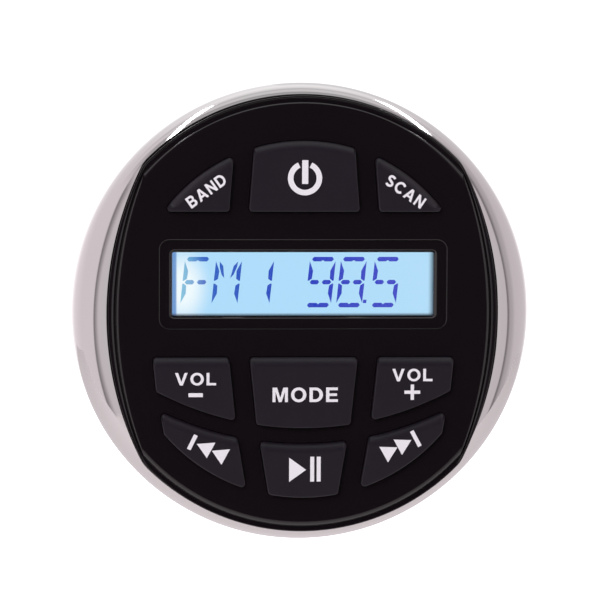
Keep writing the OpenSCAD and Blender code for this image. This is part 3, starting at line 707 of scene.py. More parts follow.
def key_outlines(s, share=0.0):
    """Outline of every key by name, drawn in by a share of the rounding of its edges, with the ways out of it."""
    radius = s.key_corner - min(1, share) * s.key_ease
    outlines = {}
    for names, (edges, starts) in {**CENTRE_KEYS, **RIGHT_KEYS}.items():
        insets = []
        for edge, begin, end in zip(edges, starts[-1:] + starts[:-1], starts):
            upper = beyond(edge, (mm(*begin) + mm(*end)) / 2)[1].y > 0.5
            insets.append(radius + share * (s.key_slope_w if upper else s.key_ease))
        drawn = [(p + out * radius, out) for p, out in spine_of(edges, starts, insets)]
        if names in CENTRE_KEYS:
            outlines[names] = drawn
        else:
            left, right = names
            outlines[right] = drawn
            outlines[left] = [(Vector((-p.x, p.y)), Vector((-out.x, out.y))) for p, out in reversed(drawn)]
    return outlines


class ReceiverFace(bpy.types.Operator):
    """Gloss black face with its shoulder, key openings and recessed window"""

    bl_idname = "receiver.face"
    bl_label = "Face"

    def execute(self, context):
        s = context.scene.receiver_sizes
        rear = FACE_TOP - s.face_wall
        round_lip = [0.12, 12.86, 0.3, 12.92, 0.52, 12.86, 0.62, 12.5, 1.3, 12.5]
        side_lip = [0.08, 12.88, 0.8, 12.91, 1.32, 12.78, 1.42, 12.45, 1.85, 12.45]
        round_section = self.edge_section(s, rear, s.front_ease, round_lip)
        side_section = self.edge_section(s, rear, s.side_ease, side_lip)

        def section(turn):
            made = []
            for (draw_in, h), (side_draw_in, side_h) in zip(round_section, side_section):
                r, share = face_edge(turn, draw_in, side_draw_in)
                made.append((r, h + (side_h - h) * share))
            return made

        ease = 0.12 * MM
        quarter = [math.radians(a) for a in (90, 60, 30, 0)]
        holes = []
        for outline in key_outlines(s).values():
            holes.append(
                [loop(outline, s.key_gap + 1.5 * ease, FACE_TOP)]
                + [
                    loop(outline, s.key_gap + ease * (1 - math.cos(a)), FACE_TOP - ease * (1 - math.sin(a)))
                    for a in quarter
                ]
                + [loop(outline, s.key_gap, rear)]
            )
        holes.append(self.window(s, rear))
        bm = bmesh.new()
        pierced(bm, turned(section), holes)
        piece("gloss_face", bm, finish("polished_abs"), replaces=["face_panel"], sharp=35)
        return {"FINISHED"}

    def edge_section(self, s, rear, width, lip):
        """Section from the skirt up over the lip and its groove to the rounded edge of the front.

        The lip's corners are given in millimetres, as pairs of inset and height.
        """
        corners = [tuple(mm(*lip[i : i + 2])) for i in range(0, len(lip), 2)]
        gap, wall_top = 0.04 * MM, corners[0][1] - 0.15 * MM
        groove = corners[-1][0]
        start = Vector((groove + 0.11 * MM, FACE_TOP - 0.45 * width))
        bend = Vector((start.x + 0.25 * width, FACE_TOP))
        end = Vector((start.x + width, FACE_TOP))
        curve = curved(start, bend, end, 8)
        undercut = gap + 0.3 * MM
        wall = [
            (s.skirt_wall, rear), (s.skirt_wall, FACE_SEAT), (undercut, FACE_SEAT),
            (undercut, wall_top - 0.5 * MM), (gap, wall_top),
        ]
        return (
            eased(wall + corners + [curve[0], curve[1]], s.edge_ease)
            + curve[2:]
            + [(end.x + 0.1 * MM, FACE_TOP), (end.x + 0.3 * MM, FACE_TOP)]
        )

    def window(self, s, rear):
        """Rows of points down through the recess and over the sloping lip to the seat of the lens."""
        corner, outer_corner, seat = 0.4 * MM, 2.3 * MM, 1.3 * MM
        half_w, half_h = s.window_half_w - s.window_lip_w, s.window_half_h - s.window_lip_w
        inner = box_spine(0, s.window_y, half_w, half_h, corner)
        wide, high = s.window_half_w + s.window_recess_w, s.window_half_h + s.window_recess_w
        outer = box_spine(0, s.window_y, wide, high, outer_corner)
        brim, brow, drop = 0.22 * MM, 0.12 * MM, 0.45 * MM
        turns = [math.radians(a) for a in (0, 15, 30, 45, 60, 75)]
        floor = FACE_TOP - drop
        lip = s.window_lip_w
        recess = [
            (0.15 * MM, FACE_TOP),
            *[(-brim * math.sin(a), FACE_TOP - brim * (1 - math.cos(a))) for a in turns],
            (-1.1 * brim, floor + 0.1 * MM), (-1.4 * brim, floor), (-1.8 * brim, floor),
        ]
        slope = [
            (lip + 0.15 * MM, floor), (lip, floor), (lip - 0.7 * brow, floor - 0.3 * brow),
            (lip - 1.6 * brow, floor - brow), (0, floor - lip), (0, LENS_FRONT), (seat, LENS_FRONT), (seat, rear),
        ]
        return [loop(outer, outer_corner + reach, h) for reach, h in recess] + [
            loop(inner, corner + reach, h) for reach, h in slope
        ]


# Keys: how flat the bevel of their edges is, 1 for round and 2 for flat, and the upward part of the way out
# of an edge from which it begins to be an upper edge, up to where it is one
KEY_BEVEL = 1.43
UPPER_FROM, UPPER_TO = 0.2, 0.6


class ReceiverKeys(bpy.types.Operator):
    """Nine rubber keys, bevelled most at their upper edges, each riding on its own body"""

    bl_idname = "receiver.keys"
    bl_label = "Keys"

    def execute(self, context):
        s = context.scene.receiver_sizes
        flange_top = CELL_FRONT
        flange_rear = flange_top - s.key_flange_t
        top = KEY_TOP - s.ink_t
        turns = [math.radians(a) for a in range(0, 91, 10)]
        steps = [(1 - math.cos(a) ** KEY_BEVEL, 1 - math.sin(a) ** KEY_BEVEL) for a in turns]
        steps.append((1.15, 0))
        drawn = [(key_outlines(s, inward), down) for inward, down in steps]
        for name, outline in key_outlines(s).items():
            rows = [
                loop(outline, s.key_flange_w, flange_rear),
                loop(outline, s.key_flange_w, flange_top),
                loop(outline, 0, flange_top),
            ]
            for outlines, down in drawn:
                row = []
                for p, out in outlines[name]:
                    share = min(1, max(0, (out.y - UPPER_FROM) / (UPPER_TO - UPPER_FROM)))
                    row.append(at(*p, top - down * (s.key_ease + share * (s.key_slope_d - s.key_ease))))
                rows.append(row)
            bm = bmesh.new()
            solid(bm, rows)
            piece(
                "cap_" + name, bm, finish("silicone_rubber"), name + "_key", ["key_" + name]
            )
        return {"FINISHED"}


# Legends in millimetres on the keys

def stroke(path, width):
    """Outline of a stroke of even width along an open path."""
    points = [Vector(p) for p in path]
    sides = []
    for i, p in enumerate(points):
        along = (points[min(i + 1, len(points) - 1)] - points[max(i - 1, 0)]).normalized()
        across = Vector((-along.y, along.x)) * width / 2
        sides.append((p - across, p + across))
    return [tuple(a) for a, _ in sides] + [tuple(b) for _, b in reversed(sides)]


def arc(x, y, rx, ry, first, last, steps=24):
    """Points along an arc between two angles in degrees."""
    turns = [math.radians(first + (last - first) * k / steps) for k in range(steps + 1)]
    return [(x + rx * math.cos(t), y + ry * math.sin(t)) for t in turns]


def bar(x0, y0, x1, y1, width):
    """Straight bar between two points."""
    return stroke([(x0, y0), (x1, y1)], width)


MARKS = {
    "power": [stroke(arc(0.05, 30.15, 3.14, 3.14, 114, 426, 48), 1.22), bar(0.09, 28.9, 0.09, 34.1, 1.35)],
    "volume_down": [bar(-25.3, -17.4, -22.15, -17.4, 0.86)],
    "volume_up": [
        [
            (23.58, -18.6), (24.32, -18.6), (24.32, -17.27), (25.7, -17.27), (25.7, -16.53), (24.32, -16.53),
            (24.32, -15.2), (23.58, -15.2), (23.58, -16.53), (22.2, -16.53), (22.2, -17.27), (23.58, -17.27),
        ]
    ],
    "play": [
        [(-3.14, -31.3), (-3.14, -36.66), (0.61, -34.0)],
        bar(1.95, -36.6, 1.95, -31.1, 0.88),
        bar(3.38, -36.6, 3.38, -31.1, 0.88),
    ],
    "previous": [
        bar(-23.64, -26.19, -25.22, -29.37, 0.88),
        [(-23.44, -28.16), (-21.25, -31.3), (-19.36, -27.88)],
        [(-20.15, -29.68), (-18.04, -32.77), (-16.16, -29.37)],
    ],
    "next": [
        bar(23.9, -25.5, 25.73, -28.9, 0.88),
        [(16.73, -28.97), (18.68, -32.42), (20.76, -29.1)],
        [(19.89, -27.39), (21.77, -30.8), (23.82, -27.5)],
    ],
}

# Letter: its width, its outline and the holes in it, in heights of a capital
PEN = 0.21
LETTERS = {
    "A": (
        0.96,
        [(0, 0), (0.23, 0), (0.31, 0.22), (0.65, 0.22), (0.73, 0), (0.96, 0), (0.6, 1), (0.36, 1)],
        [[(0.37, 0.4), (0.59, 0.4), (0.48, 0.74)]],
    ),
    "B": (
        0.8,
        [(0, 0), (0.46, 0)] + arc(0.5, 0.29, 0.29, 0.29, -90, 60) + arc(0.46, 0.74, 0.28, 0.26, -50, 90) + [(0, 1)],
        [
            [(PEN, 0.19), (0.44, 0.19)] + arc(0.46, 0.305, 0.11, 0.115, -80, 80, 8) + [(PEN, 0.42)],
            [(PEN, 0.6), (0.42, 0.6)] + arc(0.43, 0.705, 0.1, 0.105, -80, 80, 8) + [(PEN, 0.81)],
        ],
    ),
    "C": (0.9, stroke(arc(0.5, 0.5, 0.4, 0.41, 42, 318), PEN), []),
    "D": (
        0.86,
        [(0, 0)] + arc(0.38, 0.5, 0.48, 0.5, -90, 90) + [(0, 1)],
        [[(PEN, 0.19), (0.37, 0.19)] + arc(0.37, 0.5, 0.27, 0.31, -88, 88, 16) + [(PEN, 0.81)]],
    ),
    "E": (
        0.76,
        [
            (0, 0), (0.76, 0), (0.76, 0.19), (PEN, 0.19), (PEN, 0.41), (0.7, 0.41), (0.7, 0.59), (PEN, 0.59),
            (PEN, 0.81), (0.75, 0.81), (0.75, 1), (0, 1),
        ],
        [],
    ),
    "L": (0.7, [(0, 0), (0.7, 0), (0.7, 0.19), (PEN, 0.19), (PEN, 1), (0, 1)], []),
    "M": (
        0.98,
        [
            (0, 0), (0.19, 0), (0.19, 0.72), (0.4, 0), (0.58, 0), (0.79, 0.72), (0.79, 0), (0.98, 0), (0.98, 1),
            (0.69, 1), (0.49, 0.3), (0.29, 1), (0, 1),
        ],
        [],
    ),
    "N": (
        0.82,
        [
            (0, 0), (0.2, 0), (0.2, 0.64), (0.61, 0), (0.82, 0), (0.82, 1), (0.62, 1), (0.62, 0.36), (0.21, 1),
            (0, 1),
        ],
        [],
    ),
    "O": (0.98, arc(0.49, 0.5, 0.49, 0.51, 0, 352, 44), [arc(0.49, 0.5, 0.28, 0.32, 0, 352, 44)]),
    "S": (
        0.76,
        stroke(arc(0.38, 0.72, 0.27, 0.19, 35, 262, 16) + arc(0.38, 0.29, 0.28, 0.2, 82, -145, 16), PEN),
        [],
    ),
    "V": (0.92, [(0.35, 0), (0.57, 0), (0.92, 1), (0.7, 1), (0.46, 0.27), (0.22, 1), (0, 1)], []),
}
LETTER_GAP = 0.2

# Word: centre, width and height in millimetres, and angle in degrees
WORDS = {
    "band": ("BAND", -21.5, 27.35, 9.7, 2.6, 36),
    "preset": ("SCAN", 22.1, 27.3, 9.7, 2.6, -35),
    "mode": ("MODE", 0.34, -17.4, 14.4, 3.2, 0),
    "volume_down": ("VOL", -23.75, -13.88, 9.0, 2.75, 0),
    "volume_up": ("VOL", 23.95, -13.1, 8.9, 2.75, 0),
}


def word_shapes(word, x, y, width, height, degrees):
    """Outlines and holes of a word's letters, fitted to its box, in millimetres."""
    total = sum(LETTERS[c][0] for c in word) + LETTER_GAP * (len(word) - 1)
    turn, start, shapes = math.radians(degrees), 0, []

    def place(p):
        dx, dy = ((start + p[0]) / total - 0.5) * width, (p[1] - 0.5) * height
        across, up = rotated(dx, dy, turn)
        return x + across, y + up

    for c in word:
        letter_w, outline, holes = LETTERS[c]
        shapes.append(([place(p) for p in outline], [[place(p) for p in hole] for hole in holes]))
        start += letter_w + LETTER_GAP
    return shapes


class ReceiverLegends(bpy.types.Operator):
    """Printed legends on the keys: plain symbols and plain words"""

    bl_idname = "receiver.legends"
    bl_label = "Legends"

    def execute(self, context):
        s = context.scene.receiver_sizes
        low, high = KEY_TOP - 2 * s.ink_t, KEY_TOP

        def rows(points, *heights):
            return [[at(*mm(*p), h) for p in points] for h in heights]

        for name in dict(MARKS, **WORDS):
            shapes = [(mark, []) for mark in MARKS.get(name, [])]
            if name in WORDS:
                shapes += word_shapes(*WORDS[name])
            bm = bmesh.new()
            for outline, holes in shapes:
                pierced(bm, rows(outline, low, high), [rows(hole, high, low) for hole in holes])
            piece("legend_" + name, bm, finish("printed_ink"), name + "_key")
        return {"FINISHED"}


# Bars of a display figure, as shares: x of its width, y of its height, measured from the centre of the left
# half; the right half and the lower half are mirrored
BLADE = [(0.0, 0.03), (0.05, 0.028), (0.155, 0.068), (0.17, 0.225), (0.004, 0.416)]
RAIL = [
    (0.08, 0.457), (0.15, 0.502), (0.85, 0.502), (0.92, 0.457), (0.85, 0.412), (0.57, 0.412), (0.5, 0.44),
    (0.43, 0.412), (0.15, 0.412),
]
DASH = [(0.085, 0.0), (0.155, 0.044), (0.385, 0.044), (0.45, 0.0), (0.385, -0.044), (0.155, -0.044)]
SPOKE = [(0.15, 0.41), (0.3, 0.32), (0.385, 0.08), (0.27, 0.15), (0.17, 0.3)]


def mirrored(shape, flip_x, flip_y):
    """Shape mirrored inside the figure's box."""
    made = [(1 - u if flip_x else u, -v if flip_y else v) for u, v in shape]
    return made[::-1] if flip_x != flip_y else made


BARS = {
    "a": [RAIL], "d": [mirrored(RAIL, False, True)],
    "f": [BLADE], "b": [mirrored(BLADE, True, False)],
    "e": [mirrored(BLADE, False, True)], "c": [mirrored(BLADE, True, True)],
    "g": [DASH, mirrored(DASH, True, False)],
    "h": [SPOKE], "j": [mirrored(SPOKE, True, False)],
}
FIGURES = {"F": "aefg", "M": "efbchj", "1": "bc", "9": "abcdfg", "8": "abcdefg", "5": "acdfg"}
READING = [("F", -27.1), ("M", -20.25), ("1", -13.2), ("9", 0.4), ("8", 7.25), ("5", 14.75)]
FIGURE_FOOT = 1.55
POINT_AT = (13.15, 2.46)


class ReceiverDisplay(bpy.types.Operator):
    """Lens, lit cell and figures of the display"""

    bl_idname = "receiver.display"
    bl_label = "Display"

    def execute(self, context):
        s = context.scene.receiver_sizes
        lens = self.pane(s, 1.2 * MM, LENS_REAR, LENS_FRONT)
        piece("window_lens", lens, clear_acrylic(), replaces=["display_window"])
        cell = self.pane(s, 1 * MM, CELL_REAR, CELL_FRONT)
        piece("display_cell", cell, lit_ground(), replaces=["lcd_glass"])
        self.figures(s)
        return {"FINISHED"}

    def pane(self, s, margin, rear, front):
        """Pane with chamfered edges, wider than the window opening by a margin all round."""
        corner, chamfer = 0.5 * MM, 0.12 * MM
        spine = box_spine(0, s.window_y, s.window_half_w + margin, s.window_half_h + margin, corner)
        steps = [(chamfer, rear), (0, rear + chamfer), (0, front - chamfer), (chamfer, front)]
        bm = bmesh.new()
        solid(bm, [loop(spine, corner - inset, h) for inset, h in steps])
        return bm

    def figures(self, s):
        """Bars of the reading, drawn on the cell."""
        slant = math.tan(s.figure_slant)
        low, high = CELL_FRONT - 0.02 * MM, CELL_FRONT + 0.03 * MM
        shapes = []
        for sign, x in READING:
            foot = mm(x, FIGURE_FOOT)
            for name in FIGURES[sign]:
                for shape in BARS[name]:
                    shapes.append([foot + Vector((u * s.figure_w, (v + 0.5) * s.figure_h)) for u, v in shape])
        dot = mm(*POINT_AT)
        side = 0.75 * MM
        shapes.append([dot + Vector(p) * side for p in ((0, 0), (1, 0), (1, 1), (0, 1))])
        bm = bmesh.new()
        for shape in shapes:
            leaning = [Vector((p.x + (p.y - FIGURE_FOOT * MM) * slant, p.y)) for p in shape]
            solid(bm, [[at(*p, low) for p in leaning], [at(*p, high) for p in leaning]])
        piece("display_figures", bm, display_figure())


# The rear

HARNESS_AT, HARNESS_HALF = (0, -20), (12, 6.5)
ANTENNA_AT, ANTENNA_R, ANTENNA_BORE = (-25, -6), 5.5, 4.3
LINE_OUTS = {"red_nylon": (24, 0), "white_nylon": (24, -12)}
LINE_OUT_R = 4.1
STUDS = [(-33, 10), (33, 10)]
POST_RING = 37.0
POSTS = [rotated(POST_RING, 0, math.radians(a)) for a in (45, 135, 225, 315)]
FIN_PITCH, FIN_RING, FIN_FOOT = 5.2, 39.0, 2


class ReceiverRear(bpy.types.Operator):
    """Cast rear cover with its fins, sockets, screws and studs"""

    bl_idname = "receiver.rear"
    bl_label = "Rear"

    def execute(self, context):
        s = context.scene.receiver_sizes
        self.rear_h = COVER_FRONT - s.cover_t
        self.cover(s)
        self.sockets()
        self.fasteners()
        return {"FINISHED"}

    def cover(self, s):
        """Round plate with eased holes, and drafted fins with rounded tips."""
        rear, plate_r, thick = self.rear_h, s.cover_r / MM, s.cover_t / MM
        edge = [(0, thick), (0, 1.2), (0.25, 0.5), (0.7, 0.12), (1.2, 0), (1.4, 0)]
        outer = stack(disc_spine(0, 0, 240), rear, *[(plate_r - inset, h) for inset, h in edge])
        rounds = [(*ANTENNA_AT, ANTENNA_R + 0.3)] + [(*p, LINE_OUT_R + 0.3) for p in LINE_OUTS.values()]
        rounds += [(*p, 2.55) for p in STUDS] + [(*p, 1.3) for p in POSTS]
        cuts = [(disc_spine(x * MM, y * MM, 48), r) for x, y, r in rounds]
        half_w, half_h = [(v + 0.3) * MM for v in HARNESS_HALF]
        corner = 0.6
        cuts.append((box_spine(*mm(*HARNESS_AT), half_w, half_h, corner * MM), corner))
        mouth = [(0.52, 0), (0.4, 0), (0.12, 0.12), (0, 0.4), (0, thick)]
        holes = [stack(spine, rear, *[(reach + out, h) for out, h in mouth]) for spine, reach in cuts]
        bm = bmesh.new()
        pierced(bm, outer, holes)
        for k in range(-3, 4):
            x, half_t = k * FIN_PITCH, 0.8
            top = math.sqrt(FIN_RING**2 - (abs(x) + half_t) ** 2)
            middle, half_l = (top + FIN_FOOT) / 2, (top - FIN_FOOT) / 2
            fin = box_spine(x * MM, middle * MM, half_t * MM, half_l * MM, corner * MM)
            root = stack(fin, rear, (corner + 0.9, 0.2), (corner + 0.35, -0.25), (corner, -0.9))
            tip = stack(fin, SOCKET_END, (corner - 0.1, 0.5), (corner - 0.22, 0.16), (corner - 0.5, 0))
            solid(bm, root + tip)
        piece("finned_cover", bm, finish("blasted_aluminium"), replaces=["rear_cover"])

    def sockets(self):
        """Harness socket, antenna socket and the pair of line outputs, with heights from their rear ends."""
        tip, floor = SOCKET_END, 14
        front, rear = (COVER_FRONT - tip) / MM, (self.rear_h - tip) / MM
        half_w, half_h = [v * MM for v in HARNESS_HALF]
        corner, inside, wall = 0.8, 0.4, 1.5 * MM
        x, y = mm(*HARNESS_AT)
        shell = box_spine(x, y, half_w, half_h, corner * MM)
        cavity = box_spine(x, y, half_w - wall, half_h - wall, inside * MM)
        bm = bmesh.new()
        hollowed(
            bm,
            stack(shell, tip, (corner, front + 2), (corner, 0.3), (corner - 0.09, 0.09), (corner - 0.3, 0)),
            stack(cavity, tip, (inside + 0.3, 0), (inside, 0.3), (inside, floor)),
        )
        for rib_x in (-7.5, 7.5):
            rib = box_spine(x + rib_x * MM, y + half_h - wall - 0.5 * MM, 0.6 * MM, 0.7 * MM, 0.2 * MM)
            solid(bm, stack(rib, tip, (0.2, floor), (0.2, 1.2), (0, 1)))
        latch = box_spine(x, y + half_h + 0.35 * MM, 3 * MM, 0.5 * MM, 0.25 * MM)
        solid(bm, stack(latch, tip, (0.25, rear - 1), (0.25, 2.4), (0.05, 2.0)))
        piece("harness_shell", bm, finish("filled_pbt"), replaces=["harness_socket"])

        r, bore = ANTENNA_R, ANTENNA_BORE
        ring = [
            (r, front + 2), (r, 0.4), (r - 0.12, 0.12), (r - 0.4, 0), (bore + 0.35, 0), (bore + 0.08, 0.12),
            (bore, 0.45), (bore, floor), (0.4, floor + 0.05),
        ]
        bm = bmesh.new()
        solid(bm, stack(disc_spine(*mm(*ANTENNA_AT), 72), tip, *ring))
        piece("antenna_shell", bm, finish("nickel_plate"), replaces=["antenna_socket"])

        r, inner = LINE_OUT_R, LINE_OUT_R - 0.55
        ring = [
            (r, front + 0.2), (r, 0.3), (r - 0.1, 0.08), (r - 0.28, 0), (inner + 0.1, 0.08), (inner, 0.3),
            (inner, front + 0.2),
        ]
        core = [
            (inner - 0.02, front), (inner - 0.02, 0.7), (inner - 0.25, 0.45), (2.0, 0.45), (1.75, 0.55),
            (1.6, 0.85), (1.6, rear), (0.3, rear + 0.05),
        ]
        shells = bmesh.new()
        for colour, place in LINE_OUTS.items():
            axis = disc_spine(*mm(*place), 72)
            band(shells, stack(axis, tip, *ring), close=True)
            bm = bmesh.new()
            solid(bm, stack(axis, tip, *core))
            piece("line_out_" + colour, bm, finish(colour))
        piece("line_out_rings", shells, finish("nickel_plate"), replaces=["line_out_shells"])

    def fasteners(self):
        """Pan-head screws with cross recesses, and threaded studs with their hexagons."""
        rear, steel = self.rear_h, finish("zinc_plated_steel")
        head = [(2.3, 0.1), (2.5, -0.25), (2.5, -0.7), (2.3, -1.25), (1.9, -1.62), (1.6, -1.75), (1.5, -1.78)]
        arm = [(0.28, -0.28), (1.25, -0.26), (1.3, 0), (1.25, 0.26)]
        cross = [rotated(*p, TURN * k / 4 + math.radians(20)) for k in range(4) for p in arm]
        bm = bmesh.new()
        for x, y in POSTS:
            recess = [
                [at(*(mm(x, y) + mm(*p) * shrink), rear - depth * MM) for p in cross]
                for shrink, depth in ((1.0, 1.78), (0.92, 1.55), (0.55, 0.6))
            ]
            hollowed(bm, stack(disc_spine(x * MM, y * MM, 48), rear, *head), recess)
        piece("cross_head_screws", bm, steel, replaces=["cover_screws"], sharp=30)

        pitch, major, minor, per_turn = 0.7 * MM, 2.0 * MM, 1.66 * MM, 28
        start, end = rear - 2.5 * MM, STUD_END
        count = int((start - end) / pitch * 8)
        bm = bmesh.new()
        for x, y in STUDS:
            rows = []
            for k in range(count + 1):
                h = start + (end - start) * k / count
                taper = min(1.0, (h - end) / (0.6 * MM))
                row = []
                for j, (p, out) in enumerate(disc_spine(x * MM, y * MM, per_turn)):
                    phase = ((start - h) / pitch + j / per_turn) % 1.0
                    ridge = min(1.0, max(0.0, 1.35 * (1 - abs(2 * phase - 1)) - 0.15))
                    r = (minor + (major - minor) * ridge) * (0.84 + 0.16 * taper)
                    row.append(at(*(p + out * r), h))
                rows.append(row)
            solid(bm, rows)
            solid(bm, stack(disc_spine(x * MM, y * MM, 6), rear, (4, 0.05), (4, -2.2), (3.65, -2.5)))
        piece("threaded_studs", bm, steel, replaces=["mount_studs"], sharp=30)


KEY_NAMES = [name for pair in RIGHT_KEYS for name in pair] + list(CENTRE_KEYS)

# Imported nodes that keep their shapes, by finish
KEPT_NODES = {
    "epdm_rubber": ["panel_seal", "cover_seal"],
    "gilt_brass": ["harness_pins", "antenna_contact"],
    "filled_pbt": ["line_out_block", "switch_bodies", "link_headers", "amplifier_chip", "processor_chip"],
    "solder_resist": ["key_board", "main_board", "link_board", "wireless_module"],
    "zinc_plated_steel": ["key_board_screws", "panel_screws", "main_board_screws"],
    "nickel_plate": ["tuner_module", "lcd_pins"],
    "white_polycarbonate": [
        "lcd_frame", "light_guide", "backlight_leds", *["plunger_" + name for name in KEY_NAMES]
    ],
    "shrunk_pvc": ["capacitors"],
    "silicone_pad": ["thermal_pad"],
}

# Section of the ribbed gasket in millimetres: distance from the axis, and height above the dash
GASKET = [
    (42.8, 0.75), (42.8, 0), (44.2, 0), (44.5, 0.35), (45.1, 0.35), (45.4, 0), (47.2, 0), (47.5, 0.35),
    (48.1, 0.35), (48.4, 0), (50, 0), (50, 1.5), (42.8, 1.5), (42.8, 0.8),
]


class ReceiverHousing(bpy.types.Operator):
    """Gasket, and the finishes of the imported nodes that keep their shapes"""

    bl_idname = "receiver.housing"
    bl_label = "Housing"

    def execute(self, context):
        bm = bmesh.new()
        band(bm, stack(disc_spine(0, 0, 240), 0, *eased(GASKET, 0.25)), close=True)
        piece("ribbed_gasket", bm, finish("epdm_rubber"), replaces=["mount_gasket"])
        dress(finish("spark_textured_abs"), "rear_housing", bevel=0.3 * MM)
        for name, nodes in KEPT_NODES.items():
            dress(finish(name), *nodes)
        return {"FINISHED"}


# Tent: brightness of its walls by bearing from the front in degrees, with a dark seam on either side, and of
# its roof from front to rear, with two dark poles
TENT_WALLS = [
    (-180, 1.9), (-150, 1.5), (-130, 1.15), (-100, 1.0), (-60, 1.0), (-58, 0.25), (-46, 0.84), (0, 0.84),
    (58, 0.82), (60, 0.2), (67, 0.6), (75, 0.66), (84, 0.84), (130, 0.9), (150, 1.35), (180, 1.9),
]
TENT_ROOF = [
    (-1, 0.5), (-0.45, 0.5), (-0.35, 1.3), (-0.06, 1.3), (0.04, 0.55), (0.14, 0.62), (0.19, 0.45), (0.27, 0.95),
    (0.36, 0.95), (0.43, 0.74), (0.52, 1.1), (0.7, 1.4), (1, 1.5),
]


# How far the wall's seams bow outwards with height, and the light in the gap on the camera's side
SEAM_BOW, GAP_LIGHT = 1.35, 0.02

# Lamp: place and size in metres, power in watts, and the rays that it isn't shown to
LAMPS = {
    "left_lamp": ((-0.4, 0.24, 0.7), (0.42, 0.055), 0.95, "visible_diffuse"),
    "right_lamp": ((0.47, 0.31, 0.7), (0.42, 0.06), 1.05, "visible_diffuse"),
    "front_lamp": ((-0.3, -0.9, 0.45), (0.5, 0.5), 6.6, "visible_glossy"),
}

# Right half of the floor's outline in metres, from front to rear, and between which depths its shade ends
FLOOR_RIGHT = [(0.33, -0.65), (0.375, -0.13), (0.62, 0.03), (0.95, 0.25), (0.95, 0.9)]
FLOOR_SHADE = (-0.65, -0.1)

# Camera: sensor, lens and the point it looks at, in millimetres
SENSOR, LENS, LOOK_AT = 36, 194.7, (-0.22, -6, 2.69)


def plainly_seen(tree):
    """1 where the camera sees the stage straight or through glass, and 0 elsewhere."""
    path = add(tree, "LightPath")
    rays = {0: path.outputs["Is Camera Ray"], 1: path.outputs["Is Transmission Ray"]}
    return add(tree, "Math", rays, operation="MAXIMUM")


